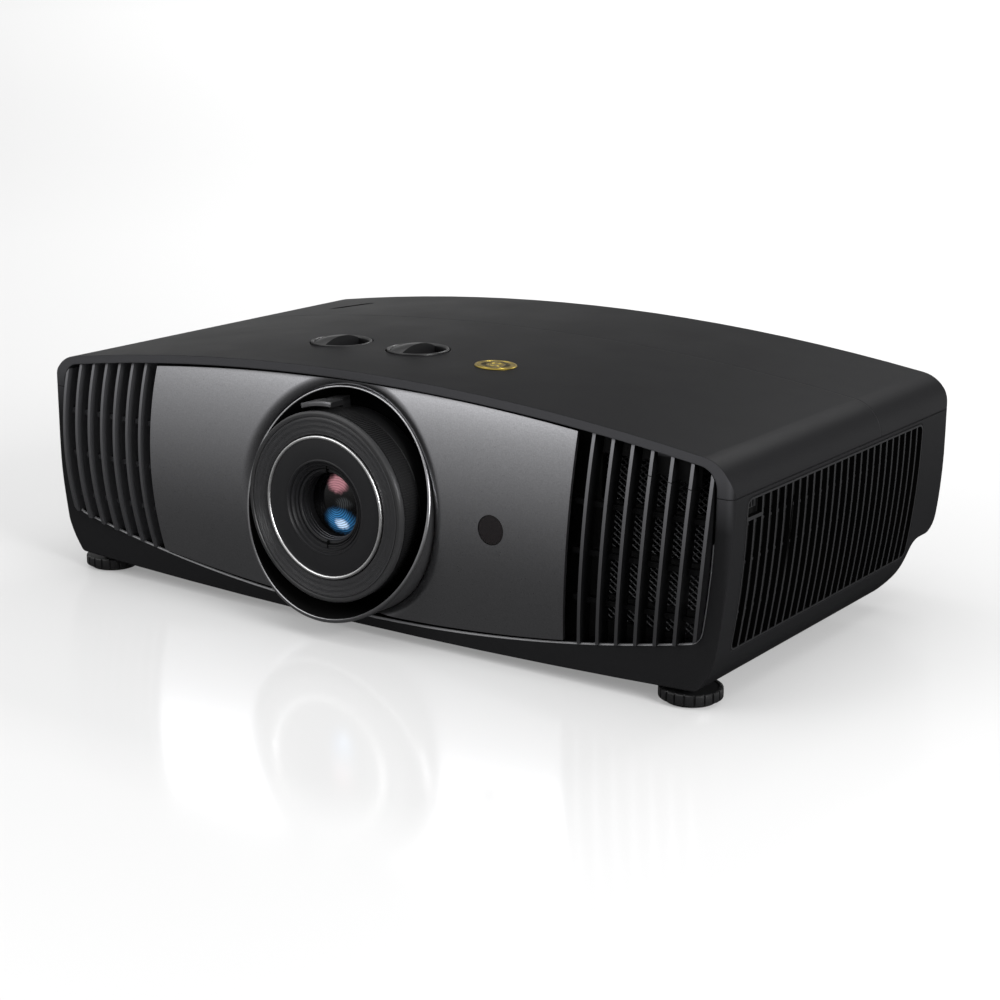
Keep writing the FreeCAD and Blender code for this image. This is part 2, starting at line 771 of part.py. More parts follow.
def subframe():
    """Black plate behind the fascia and the slats, seated on the rim's back."""
    y0 = y_front + rim_depth
    plate = opening_prism(-rim_wall / 2, y0, y0 + subframe_wall)
    bore = rod(lens_x, y0 - 5, lens_z, collar_radius + 0.2, 30, Y)
    windows = []
    for side in (-1, 1):
        x0, x1 = slat_x(0, side) - 4, slat_x(slats_per_side - 1, side) + 1
        for k in range(4):
            low = (22.0, 48.5, 75.5, 102.5)[k] + (12.0 if k == 0 else 0.0)
            high = (44.5, 71.5, 98.5, 128.0)[k]
            windows.append(box(side * x0, side * x1, y0 - 5, y0 + 10, low, high))
    eye = rod(ir_from_middle, y0 - 5, lens_z + ir_above_lens, ir_radius + 0.2, 30, Y)
    return plate.cut(group([bore, eye] + windows))


def mesh_screens():
    y0 = y_front + rim_depth + subframe_wall
    screens = []
    for side in (-1, 1):
        x0, x1 = slat_x(0, side) - 6, slat_x(slats_per_side - 1, side) + 3
        screens.append(box(side * x0, side * x1, y0, y0 + mesh_wall, 30, 130))
    return group(screens).common(opening_prism(0.5, y0, y0 + mesh_wall))


def ir_window():
    z = lens_z + ir_above_lens
    lens = rod(ir_from_middle, y_front - 30, z, ir_radius, rim_depth + subframe_wall + 30, Y)
    return lens.common(bulge_drum(0.5, -far / 2, far / 2))


# ---- lens ----
def coax(y, outer, inner, length):
    return tube(lens_x, y, lens_z, outer, inner, length, Y)


def collar():
    """A thin ring whose rim leans forward at the bottom, with a flange behind."""
    y0, y1 = y_front - lens_overhang, y_front + rim_depth + subframe_wall
    ring = coax(y0, collar_radius, collar_radius - collar_wall, y1 - y0)
    lean = math.atan((lens_overhang - collar_top_out) / (2 * collar_radius))
    cutter = box(-150, 150, -200, 0, -150, 150)
    cutter.rotate(V(0, 0, 0), X, math.degrees(lean))
    cutter.translate(V(lens_x, y_front - (lens_overhang + collar_top_out) / 2, lens_z))
    flange = coax(y1 - 1.6, collar_radius, collar_radius - 7.5, 1.6)
    return join([ring.cut(cutter), flange])


def focus_ring():
    """The knurled front ring: it turns on the barrel's sleeve."""
    ring = coax(y_focus, focus_radius, focus_bearing, focus_depth)
    front = coax(y_focus, focus_radius, cell_radius + free, focus_lip)
    hollow = coax(y_focus + focus_lip + 1, focus_radius - 2.5, focus_bearing + 2.5, focus_depth)
    return join([ring, front]).cut(hollow)


def lens_cell():
    """The front cell: a flat face, stepped inner rings and the glass seat."""
    body = join([rod(lens_x, y_cell, lens_z, cell_radius, cell_depth, Y),
                 rod(lens_x, y_cell, lens_z, cell_tail_radius, cell_depth + cell_tail, Y)])
    steps = [coax(y_cell - 1, accent_radius + 1, accent_radius - accent_width, 1 + accent_wall)]
    for radius, deep in zip(cell_step_radii, cell_step_depths):
        steps.append(rod(lens_x, y_cell - 1, lens_z, radius, deep + 1, Y))
    steps.append(rod(lens_x, y_cell - 1, lens_z, glass_radius + 0.02, glass_depth + glass_wall + 1, Y))
    steps.append(rod(lens_x, y_cell, lens_z, glass_radius - 2, 2 * cell_depth, Y))
    hollow = coax(y_cell + 8, cell_radius - 3, cell_tail_radius + 2, cell_depth)
    return body.cut(hollow).cut(join(steps))


def accent_ring():
    return coax(y_cell, accent_radius, accent_radius - accent_width, accent_wall)


def front_glass():
    """A biconvex lens seated in the cell."""
    y0 = y_cell + glass_depth
    disc = rod(lens_x, y0, lens_z, glass_radius, glass_wall, Y)
    curve = 38.0
    sag = curve - math.sqrt(curve ** 2 - glass_radius ** 2)
    ball = Part.makeSphere(curve, V(lens_x, y0 + curve - sag * 0.55, lens_z))
    return disc.common(ball)


def zoom_ring():
    ring = coax(y_zoom, zoom_radius, barrel_radius + running, zoom_depth)
    a0, a1 = zoom_tab_angle - zoom_tab_half, zoom_tab_angle + zoom_tab_half
    arm = []
    for inner, outer, y0, y1 in ((zoom_radius - 1, zoom_tab_outer, y_zoom + 2, y_zoom + 9),
                                 (zoom_tab_inner, zoom_tab_outer, y_focus + 5.0, y_zoom + 9)):
        wide = Part.makeCylinder(outer, y1 - y0, V(0, 0, 0), Z, math.degrees(a1 - a0))
        wide = wide.cut(Part.makeCylinder(inner, y1 - y0, V(0, 0, 0), Z))
        wide.rotate(V(0, 0, 0), X, 90)
        wide.rotate(V(0, 0, 0), Y, -90 - math.degrees(a0))
        wide.translate(V(lens_x, y1, lens_z))
        arm.append(wide)
    return join([ring] + arm)


def lens_barrel():
    """The fixed tube: its front sleeve carries the focus ring and guides the cell."""
    sleeve_start = y_focus + focus_lip + free
    sleeve = coax(sleeve_start, focus_bearing - running, cell_radius + 0.35, y_barrel + 2 - sleeve_start)
    shoulder = coax(y_barrel, focus_bearing - running, barrel_bore, 2.0)
    body = coax(y_barrel, barrel_radius, barrel_bore, barrel_length)
    flange = coax(y_side_plate - 3, barrel_radius + 8, barrel_bore, 3)
    return join([sleeve, shoulder, body, flange])


def zoom_group():
    y0 = y_up_plate
    ring = coax(y0, zoom_group_radius, 20.0, zoom_group_depth)
    return ring


def baffle():
    y0 = y_flange
    return coax(y0, collar_radius - 4.0, barrel_radius + 0.1, baffle_wall)


def side_plate():
    """Carries the barrel and runs left and right on the two cross rods."""
    y0 = y_side_plate
    r = rod_spread - 14
    plate = box(lens_x - r, lens_x + r, y0, y0 + plate_wall, lens_z - cross_spread, lens_z + cross_spread)
    yc = y0 + plate_wall + plate_gap / 2
    lugs = []
    for sz in (-1, 1):
        for sx in (-1, 1):
            x0 = lens_x + sx * 28
            lugs.append(box(x0 - lug / 2, x0 + lug / 2, y0 + 1, yc + rod_radius + lug_skin,
                            lens_z + sz * cross_spread - 5, lens_z + sz * cross_spread + 5))
    body = join([plate] + lugs)
    bores = [rod(lens_x - far / 2, yc, lens_z + sz * cross_spread, rod_radius + running, far, X)
             for sz in (-1, 1)]
    bores.append(rod(lens_x, y0 - 5, lens_z, barrel_radius + 0.1, 30, Y))
    return body.cut(group(bores))


def cross_rods():
    yc = y_side_plate + plate_wall + plate_gap / 2
    half = rod_spread - 4
    return group([rod(lens_x - half, yc, lens_z + sz * cross_spread, rod_radius, 2 * half, X)
                  for sz in (-1, 1)])


def up_plate():
    """Holds the cross rods and runs up and down on the two upright rods."""
    y0 = y_up_plate
    yc = y_side_plate + plate_wall + plate_gap / 2
    yu = y0 + plate_wall + plate_gap / 2
    reach = rod_spread + 5
    plate = box(lens_x - reach, lens_x + reach, y0, y0 + plate_wall,
                lens_z - cross_spread, lens_z + cross_spread)
    bits = [plate]
    for sx in (-1, 1):
        for sz in (-1, 1):
            xr, zr = lens_x + sx * (rod_spread - 7), lens_z + sz * cross_spread
            bits.append(box(xr - 3, xr + 3, yc - rod_radius - 2, y0 + 1, zr - 5, zr + 5))
            xu, zu = lens_x + sx * rod_spread, lens_z + sz * 28
            bits.append(box(xu - 5, xu + 5, y0 + 1, yu + rod_radius + lug_skin, zu - lug / 2, zu + lug / 2))
    body = join(bits)
    bores = [rod(lens_x - rod_spread + 4, yc, lens_z + sz * cross_spread, rod_radius, 2 * rod_spread - 8, X)
             for sz in (-1, 1)]
    bores += [rod(lens_x + sx * rod_spread, yu, 0, rod_radius + running, far, Z) for sx in (-1, 1)]
    bores.append(rod(lens_x, y0 - 5, lens_z, barrel_radius + 4, 30, Y))
    return body.cut(group(bores))


def guide_rods():
    yu = y_up_plate + plate_wall + plate_gap / 2
    return group([rod(lens_x + sx * rod_spread, yu, lens_z - rod_low, rod_radius, rod_low + rod_high, Z)
                  for sx in (-1, 1)])


def lens_mount():
    """The fixed plate that carries the upright rods, on two feet."""
    y0 = y_mount
    yu = y_up_plate + plate_wall + plate_gap / 2
    reach = rod_spread + 8
    plate = box(lens_x - reach, lens_x + reach, y0, y0 + plate_wall, mount_seat, lens_z + rod_high)
    bits = [plate]
    for sx in (-1, 1):
        for z0 in (lens_z - rod_low, lens_z + rod_high - 8):
            xr = lens_x + sx * rod_spread
            bits.append(box(xr - 5, xr + 5, yu - rod_radius - 2, y0 + 1, z0, z0 + 8))
        bits.append(box(lens_x + sx * mount_foot_x - 9, lens_x + sx * mount_foot_x + 9,
                        y0, y0 + mount_foot_length, mount_seat, mount_seat + 3))
    body = join(bits)
    bores = [rod(lens_x + sx * rod_spread, yu, lens_z - rod_low - 5, rod_radius, far, Z) for sx in (-1, 1)]
    bores.append(rod(lens_x, y0 - 5, lens_z, barrel_radius + 5, 30, Y))
    return body.cut(group(bores))


# ---- top controls ----
def dial(i):
    x, y, z = dial_place(i)
    disc = rod(x, y, z - dial_wall, dial_radius, dial_wall, Z)
    cap = dial_radius - dial_rim
    curve = (cap ** 2 + dial_dome ** 2) / (2 * dial_dome)
    dome = Part.makeSphere(curve, V(x, y, z + dial_dome - curve))
    dome = dome.common(rod(x, y, z - 1, cap, 10, Z)).common(box(x - 30, x, y - 30, y + 30, z - 1, z + 10))
    pocket = rod(x, y, z - dial_pocket, cap, 10, Z).common(box(x, x + 30, y - 30, y + 30, z - 10, z + 10))
    stem = rod(x, y, z - dial_wall - dial_shaft_length, dial_shaft, dial_shaft_length + 1, Z)
    return join([disc.cut(pocket), dome, stem])


# ---- side grilles ----
def side_grille(side, latch):
    """A panel of thin upright slats that follows the side's curve."""
    field = outer_case.cut(inner_case).common(side_window(side))
    field = field.common(box(side * (half_width - 40), side * far, -far, far, 0, far))
    count = int((y_vent[1] - y_vent[0] - 2 * vent_border + vent_slat) / vent_pitch + 0.5)
    pitch = (y_vent[1] - y_vent[0] - 2 * vent_border + vent_slat) / count
    slots = []
    for k in range(count):
        y0 = y_vent[0] + vent_border + k * pitch
        top = vent_high - vent_border
        if latch and k < latch_slots:
            top -= latch_height + latch_bar
        slots.append(box(side * (half_width - 60), side * (half_width + 20), y0, y0 + pitch - vent_slat,
                         vent_low + vent_border, top))
    if latch:
        y0 = y_vent[0] + vent_border
        slots.append(box(side * (half_width - 60), side * (half_width + 20), y0,
                         y0 + latch_slots * pitch - vent_slat, vent_high - vent_border - latch_height,
                         vent_high - vent_border))
    return field.cut(join(slots).common(side_window(side, -vent_border)))


def dust_filter():
    """A framed filter pad that clips behind the slats."""
    x1 = half_width - filter_in
    return box(x1 - filter_wall, x1, y_vent[0] + filter_lead, y_vent[1] - 3, vent_low + 14, vent_high - 3)


def filter_ribs():
    """Cross ribs that hold the filter off the slats."""
    x1 = half_width - filter_in
    ribs = [box(x1, half_width + 5, y_vent[0] + filter_lead, y_vent[1] - 3, z, z + 1.6)
            for z in (vent_low + 20, vent_low + 48, vent_high - 16)]
    return [r.common(inner_case) for r in ribs]


def filter_cover():
    panel = side_grille(1, True)
    return join([panel] + filter_ribs())


def filter_latch():
    """The ridged slider in the cover's small window: it is pushed down to free the cover."""
    y0 = y_vent[0] + vent_border + 1.0
    z1 = vent_high - vent_border - 0.5
    tall = latch_height - 1.1 - latch_travel
    x1 = half_width - wall
    knob = box(x1 - 2.0, x1, y0, y0 + 12, z1 - tall, z1)
    ridges = [box(x1 - 0.2, x1 + 0.8, y0 + 2 + 3 * k, y0 + 3 + 3 * k, z1 - tall + 0.7, z1 - 0.7)
              for k in range(3)]
    return join([knob] + ridges)


# ---- rear panel and its sockets ----
def panel_spots():
    """Where each socket sits on the panel: distance from its left end and its centre height."""
    return {"inlet": [(262, board_top + inlet[1] / 2 + 6)],
            "hdmi": [(x, board_top + hdmi[1] / 2) for x in (80, 110)],
            "usb": [(x, board_top + usb[1] / 2) for x in (44, 142)],
            "lan": [(180, board_top + lan[1] / 2)],
            "jack": [(x, board_top + jack_radius) for x in (212, 228)]}


def spot(name, k):
    x, z = panel_spots()[name][k]
    return -half_width + panel_from_left + x, z


y_panel = y_rear - wall - panel_wall


def socket(name, k, size, mouth):
    """A block set in the panel, open to the rear."""
    x, z = spot(name, k)
    (w, h, d), (mw, mh, md) = size, mouth
    y1 = y_rear - wall + socket_proud
    block = box(x - w / 2, x + w / 2, y1 - d, y1, z - h / 2, z + h / 2)
    hole = box(x - mw / 2, x + mw / 2, y1 - md, y1 + 5, z - mh / 2, z + mh / 2)
    return block.cut(hole)


def socket_hole(name, k, size):
    x, z = spot(name, k)
    return box(x - size[0] / 2, x + size[0] / 2, y_rear - 30, y_rear + 5, z - size[1] / 2, z + size[1] / 2)


def power_inlet():
    body = socket("inlet", 0, inlet, inlet_mouth)
    x, z = spot("inlet", 0)
    y1 = y_rear - wall + socket_proud
    pins = [box(x + dx - 1, x + dx + 1, y1 - inlet_mouth[2] - 1, y1 - 5, z + dz - 2, z + dz + 2)
            for dx, dz in ((-7, -2), (7, -2), (0, 3))]
    return join([body] + pins)


def jack_sockets():
    out = []
    for k in range(2):
        x, z = spot("jack", k)
        y1 = y_rear - wall + socket_proud
        out.append(tube(x, y1 - jack_length, z, jack_radius, jack_bore, jack_length, Y))
    return group(out)


def rear_panel():
    """The socket panel, seated on the inside of the rear wall."""
    plate = panel_box(panel_flange, y_panel, y_rear - wall)
    holes = [socket_hole("inlet", 0, inlet), socket_hole("lan", 0, lan)]
    holes += [socket_hole("hdmi", k, hdmi) for k in range(2)]
    holes += [socket_hole("usb", k, usb) for k in range(2)]
    for k in range(2):
        x, z = spot("jack", k)
        holes.append(rod(x, y_rear - 30, z, jack_radius, 40, Y))
    return plate.cut(group(holes))


# ---- insides ----
def board_plan():
    x0 = -half_width + panel_from_left + board_from_panel
    y1 = y_rear - wall - panel_wall - 2
    return x0, x0 + board_width, y1 - board_depth, y1


def main_board():
    """Lies under the sockets and carries them."""
    x0, x1, y0, y1 = board_plan()
    return box(x0, x1, y0, y1, board_top - board_wall, board_top)


def optical_engine():
    """A cast housing behind the lens, with the light's way in on its right."""
    x0, x1 = engine_x
    y0, y1, z0, z1 = y_engine, y_engine + engine_depth, engine_seat, engine_seat + engine_height
    w = engine_wall
    hollow = box(x0 + w, x1 - w, y0 + w, y1 - w, z0 + w, z1 - w)
    port = rod(lens_x, y0 - 5, lens_z, barrel_bore, 12, Y)
    light = rod(x1 - 20, y0 + engine_depth / 2, lens_z - 10, 9, 40, X)
    return box(x0, x1, y0, y1, z0, z1).cut(group([hollow, port, light]))


def heat_sink():
    """Cools the imaging chip on the engine's left side."""
    x0 = engine_x[0]
    z0, z1 = engine_seat + 10, engine_seat + engine_height - 10
    base = box(x0 - 5, x0, y_engine + 6, y_engine + 50, z0, z1)
    fins = [box(x0 - 26, x0 - 4, y_engine + 6 + 6 * k, y_engine + 7.5 + 6 * k, z0, z1) for k in range(8)]
    return join([base] + fins)


def exhaust_place():
    return -half_width + exhaust_from_side, y_front + exhaust_from_front


def lamp_fan_place():
    return half_width - lamp_fan_from_side, y_front + lamp_fan_from_front


def fan(x, y, axis):
    """A square fan: its frame with a hub on four arms, and its rotor."""
    h = fan_size / 2
    frame = box(-h, h, -h, h, 0, fan_wall).cut(rod(0, 0, -1, fan_bore, fan_wall + 2, Z))
    arms = [box(-h + 1, h - 1, -2, 2, 0, 2.5), box(-2, 2, -h + 1, h - 1, 0, 2.5)]
    hub = rod(0, 0, 0, fan_hub, 3, Z)
    frame = join([frame, hub] + arms).cut(rod(0, 0, -1, fan_axle + running, 10, Z))
    core_depth = fan_wall - 6
    core = rod(0, 0, 3.6, fan_hub, core_depth, Z)
    axle = rod(0, 0, 0.5, fan_axle, 6, Z)
    blades = []
    for k in range(fan_blades):
        blade = box(fan_hub - 2, fan_bore - 1.5, -8, 8, -0.6, 0.6)
        blade.rotate(V(0, 0, 0), X, 35)
        blade.translate(V(0, 0, 3.6 + core_depth / 2))
        blade.rotate(V(0, 0, 0), Z, 360 * k / fan_blades)
        blades.append(blade)
    rotor = join([core, axle] + blades)
    turn = (Y, 90) if axis is X else (X, -90)
    for shape in (frame, rotor):
        shape.rotate(V(0, 0, 0), *turn)
        shape.translate(V(x, y, fan_seat + h))
    return frame, rotor


def lamp_corner():
    return half_width - lamp_from_side - lamp_size[0], y_rear - lamp_from_rear - lamp_size[1]


def lamp_housing():
    """The lamp's drawer, open to the engine on its left, with a bail on top."""
    x0, y0 = lamp_corner()
    w, d, h = lamp_size
    z0, t = lamp_seat, lamp_wall
    hollow = box(x0 + t, x0 + w - t, y0 + t, y0 + d - t, z0 + t, z0 + h - t)
    mouth = rod(x0 - 10, y0 + d / 2, z0 + h / 2, 22, 30, X)
    body = box(x0, x0 + w, y0, y0 + d, z0, z0 + h).cut(group([hollow, mouth]))
    legs = [box(x, x + 4, y0 + 38, y0 + 42, z0 + h - 1, z0 + h + 12) for x in (x0 + 13, x0 + 59)]
    grip = box(x0 + 13, x0 + 63, y0 + 38, y0 + 42, z0 + h + 9, z0 + h + 13)
    return join([body, grip] + legs)


def lamp_reflector():
    x0, y0 = lamp_corner()
    w, d, h = lamp_size
    x, y, z = x0 + w - 45, y0 + d / 2, lamp_seat + h / 2
    outer = d / 2 - lamp_wall - 1.5
    cup = Part.makeSphere(outer, V(x, y, z)).cut(Part.makeSphere(outer - 2, V(x, y, z)))
    cup = cup.common(box(x - 3, x + 60, y0, y0 + d, lamp_seat, lamp_seat + h))
    neck = rod(x + 25, y, z, 7, 45 - 25 - lamp_wall, X)
    return join([cup, neck]).cut(rod(x + 15, y, z, 4, 20, X))


def wheel_place():
    return engine_x[1] + wheel_gap, y_engine + engine_depth / 2


def colour_wheel():
    """A thin glass wheel beside the engine's light port."""
    x, y = wheel_place()
    z = lens_z + 6
    wheel = tube(x, y, z, wheel_radius, 5.0, wheel_wall, X)
    hub = tube(x - 1, y, z, 6.5, fan_axle, 4, X)
    return join([wheel, hub])


def wheel_motor():
    x, y = wheel_place()
    z = lens_z + 6
    motor = rod(x + 5, y, z, 9, 12, X)
    pin = rod(x - 1.5, y, z, fan_axle - running, 8, X)
    leg = box(x + 8, x + 14, y - 4, y + 4, wheel_seat, z)
    return join([motor, pin, leg])


def supply_plan():
    x0, y0 = -half_width + supply_from_side, y_front + supply_from_front
    return x0, x0 + supply_size[0], y0, y0 + supply_size[1]


def supply_board():
    """The lamp's ballast: its board with a transformer and a capacitor."""
    x0, x1, y0, y1 = supply_plan()
    top = supply_seat + board_wall
    bits = [box(x0, x1, y0, y1, supply_seat, top), box(x0 + 6, x0 + 28, y0 + 4, y1 - 6, top - 0.5, top + 22)]
    bits.append(rod(x0 + 42, y0 + 14, top - 0.5, 7, 26, Z))
    return join(bits)


# ---- feet ----
def foot_pad(x, y):
    return join([rod(x, y, 0, pad_radius, pad_wall, Z), rod(x, y, 0, pad_pin, pad_wall + pad_pin_length, Z)])


def foot_screw(x, y):
    disc = rod(x, y, foot_base, foot_radius, foot_top - foot_base, Z)
    notches = []
    for k in range(foot_notches):
        notch = box(foot_radius - 0.9, foot_radius + 1, -0.55, 0.55, 0, foot_top + 1)
        notch.rotate(V(0, 0, 0), Z, 360 * (k + 0.5) / foot_notches)
        notch.translate(V(x, y, 0))
        notches.append(notch)
    disc = disc.cut(group(notches))
    stud = rod(x, y, foot_base, stud_radius, stud_length, Z)
    socket_bore = rod(x, y, 0, pad_pin + running, pad_wall + pad_pin_length + free, Z)
    return join([disc, stud]).cut(socket_bore)


# ---- build ----
def save(name, shape):
    solids = shape.Solids
    shape = solids[0] if len(solids) == 1 else Part.makeCompound(solids)
    shape.exportStep("parts/" + name + ".step")
    print(name, len(solids), round(shape.Volume / 1000, 1), shape.isValid())


def build():
    os.makedirs("parts", exist_ok=True)
    save("front_top_cover", hood())
    save("lamp_cover", lamp_cover())
    save("front_fascia", fascia())
    save("front_subframe", subframe())
    save("left_front_grille", front_grille(-1))
    save("right_front_grille", front_grille(1))
    save("grille_release_tab", release_tab())
    save("mesh_screens", mesh_screens())
    save("ir_window", ir_window())
    save("lens_collar", collar())
    save("focus_ring", focus_ring())
    save("lens_cell", lens_cell())
    save("accent_ring", accent_ring())
    save("front_glass", front_glass())
    save("zoom_ring", zoom_ring())
    save("lens_barrel", lens_barrel())
    save("zoom_lens_group", zoom_group())
    save("lens_baffle", baffle())
    save("side_shift_plate", side_plate())
    save("cross_rods", cross_rods())
    save("vertical_shift_plate", up_plate())
    save("guide_rods", guide_rods())
    save("lens_mount", lens_mount())
    save("vertical_shift_dial", dial(0))
    save("side_shift_dial", dial(1))
    save("top_badge", badge_solid(badge_radius, badge_proud - badge_wall, badge_proud))
    save("filter_cover", filter_cover())
    save("dust_filter", dust_filter())
    save("filter_latch", filter_latch())
    save("left_side_grille", side_grille(-1, False))
    save("rear_panel", rear_panel())
    save("power_inlet", power_inlet())
    save("hdmi_sockets", group([socket("hdmi", k, hdmi, hdmi_mouth) for k in range(2)]))
    save("usb_sockets", group([socket("usb", k, usb, usb_mouth) for k in range(2)]))
    save("lan_socket", socket("lan", 0, lan, lan_mouth))
    save("jack_sockets", jack_sockets())
    save("main_board", main_board())
    save("optical_engine", optical_engine())
    save("heat_sink", heat_sink())
    for name, place, axis in (("exhaust", exhaust_place(), X), ("lamp", lamp_fan_place(), Y)):
        frame, rotor = fan(*place, axis)
        save(name + "_fan_frame", frame)
        save(name + "_fan_rotor", rotor)
    save("lamp_housing", lamp_housing())
    save("lamp_reflector", lamp_reflector())
    save("colour_wheel", colour_wheel())
    save("wheel_motor", wheel_motor())
    save("supply_board", supply_board())
    save("mount_inserts", mount_inserts())
    save("case_screws", case_screws())
    for name in key_heights:
        save(name, key(name))
    for side, (x, y) in foot_places().items():
        save("foot_pad_" + side, foot_pad(x, y))
        save("foot_screw_" + side, foot_screw(x, y))
    save("rear_feet", rear_feet())
    save("bottom_case", tub())


build()
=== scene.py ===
import json
import math
import bmesh
import bpy
from mathutils import Matrix, Vector


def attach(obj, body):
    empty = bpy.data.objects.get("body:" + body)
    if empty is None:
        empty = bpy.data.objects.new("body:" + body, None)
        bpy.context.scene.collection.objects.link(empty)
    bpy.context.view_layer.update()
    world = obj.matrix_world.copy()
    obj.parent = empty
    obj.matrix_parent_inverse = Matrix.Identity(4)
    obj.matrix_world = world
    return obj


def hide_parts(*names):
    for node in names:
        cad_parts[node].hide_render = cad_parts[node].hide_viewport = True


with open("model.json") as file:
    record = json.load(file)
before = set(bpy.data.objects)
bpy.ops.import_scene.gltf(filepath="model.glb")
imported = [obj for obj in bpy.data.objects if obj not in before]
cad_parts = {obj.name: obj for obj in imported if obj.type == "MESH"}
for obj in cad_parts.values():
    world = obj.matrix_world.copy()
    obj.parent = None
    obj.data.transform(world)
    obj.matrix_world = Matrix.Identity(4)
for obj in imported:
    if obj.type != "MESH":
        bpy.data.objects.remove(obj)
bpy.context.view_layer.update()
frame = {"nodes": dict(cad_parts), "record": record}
nodes = frame["nodes"]
bodyOf = {node: body for body, members in frame["record"]["behaviour"]["bodies"].items() for node in members}
mm = 0.001

# the case's outline in mm, seen from the front: a crown, two flanks and a sill, all arcs
caseShape = {"front": -124.25, "halfWidth": 246.7, "top": 156.4, "bottom": 5.5, "crownRadius": 1524.0,
             "flankRadius": 495.0, "flankHeight": 118.0, "lip": 5.0, "sillHeight": 5.6, "sillRadius": 996.0}
lensAxis = (-8.0, 79.0)     # x and z of the optical axis
# the painted panel; the slats beside it bulge forward on the same arc
fasciaShape = {"left": 158.36, "right": 150.5, "gap": 2.3, "bulge": 7.0, "bulgeRadius": 232.0,
               "bulgeHeight": 74.95, "hole": 67.7, "flare": 3.0, "flareWidth": 7.0, "wall": 2.2,
               "eye": 8.6, "eyeX": 100.0, "eyeZ": 80.5}


# small helpers: nodes, colours, meshes
def setInputs(node, inputs):
    # a value is a number, a socket, or another node, which stands for its first output
    for key, value in inputs.items():
        source = value.outputs[0] if isinstance(value, bpy.types.Node) else value
        if isinstance(source, bpy.types.NodeSocket):
            node.id_data.links.new(source, node.inputs[key])
        else:
            node.inputs[key].default_value = source


def addNode(tree, kind, inputs=None, **settings):
    node = tree.nodes.new(kind)
    for key, value in settings.items():
        setattr(node, key, value)
    setInputs(node, inputs or {})
    return node


def hexColour(text):
    parts = [int(text[i:i + 2], 16) / 255 for i in (0, 2, 4)]
    return tuple(c / 12.92 if c <= 0.04045 else ((c + 0.055) / 1.055) ** 2.4 for c in parts) + (1.0,)


def shade(colour, factor):
    return tuple(min(1.0, c * factor) for c in hexColour(colour)[:3]) + (1.0,)


def startMaterial(name):
    material = bpy.data.materials.new(name)
    material.use_nodes = True
    tree = material.node_tree
    tree.nodes.clear()
    shader = addNode(tree, "ShaderNodeBsdfPrincipled")
    addNode(tree, "ShaderNodeOutputMaterial", {"Surface": shader})
    place = addNode(tree, "ShaderNodeTexCoord").outputs["Object"]
    return material, tree, shader, place


def reopen(material):
    # the shader of a finished material, its present colour, and where a point is and faces
    tree = material.node_tree
    shader = [node for node in tree.nodes if node.bl_idname == "ShaderNodeBsdfPrincipled"][0]
    coordinates = addNode(tree, "ShaderNodeTexCoord")
    place = addNode(tree, "ShaderNodeSeparateXYZ", {0: coordinates.outputs["Object"]})
    facing = addNode(tree, "ShaderNodeSeparateXYZ", {0: coordinates.outputs["Normal"]})
    return tree, shader, shader.inputs["Base Color"].links[0].from_socket, place, facing


def finishMesh(name, bm, material, angle=35):
    bmesh.ops.remove_doubles(bm, verts=bm.verts, dist=1e-7)
    bmesh.ops.recalc_face_normals(bm, faces=bm.faces)
    mesh = bpy.data.meshes.new(name)
    bm.to_mesh(mesh)
    bm.free()
    mesh.polygons.foreach_set("use_smooth", [True] * len(mesh.polygons))
    mesh.set_sharp_from_angle(angle=math.radians(angle))
    piece = bpy.data.objects.new(name, mesh)
    bpy.context.scene.collection.objects.link(piece)
    mesh.materials.append(material)
    return piece


def revolve(bm, profile, steps, centre, axis="Y", closed=True, start=0.0, sweep=2 * math.pi, trim=None):
    # profile: (radius, distance along the axis) in mm, turned round the axis
    full = abs(sweep - 2 * math.pi) < 1e-6
    count = steps if full else steps + 1
    rings = []
    for k in range(count):
        angle = start + sweep * k / steps
        ring = []
        for radius, along in profile:
            radius = trim(angle, radius) if trim else radius
            u, v = radius * math.cos(angle), radius * math.sin(angle)
            a, b = centre[0] + u, centre[1] + v
            ring.append(bm.verts.new(Vector((a, along, b) if axis == "Y" else (a, b, along)) * mm))
        rings.append(ring)
    spans = len(profile) if closed else len(profile) - 1
    for k in range(steps):
        one, two = rings[k], rings[(k + 1) % count]
        for i in range(spans):
            j = (i + 1) % len(profile)
            bm.faces.new((one[i], one[j], two[j], two[i]))
    return rings


def lathe(name, profiles, material, steps=160, centre=lensAxis, axis="Y", closed=True, angle=35, trim=None):
    bm = bmesh.new()
    for profile in profiles:
        revolve(bm, profile, steps, centre, axis, closed, trim=trim)
    return finishMesh(name, bm, material, angle)


def rounded(points, radius, steps=4):
    # rounds the corners of a closed outline with short arcs
    out = []
    for i, here in enumerate(points):
        before, after = Vector(points[i - 1]), Vector(points[(i + 1) % len(points)])
        here = Vector(here)
        r = min(radius, (before - here).length / 2.05, (after - here).length / 2.05)
        a = here + (before - here).normalized() * r
        b = here + (after - here).normalized() * r
        for k in range(steps + 1):
            t = k / steps
            out.append(tuple((1 - t) ** 2 * a + 2 * t * (1 - t) * here + t ** 2 * b))
    return out


def placePiece(piece, node):
    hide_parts(node)
    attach(piece, bodyOf[node])


print("helpers ready")


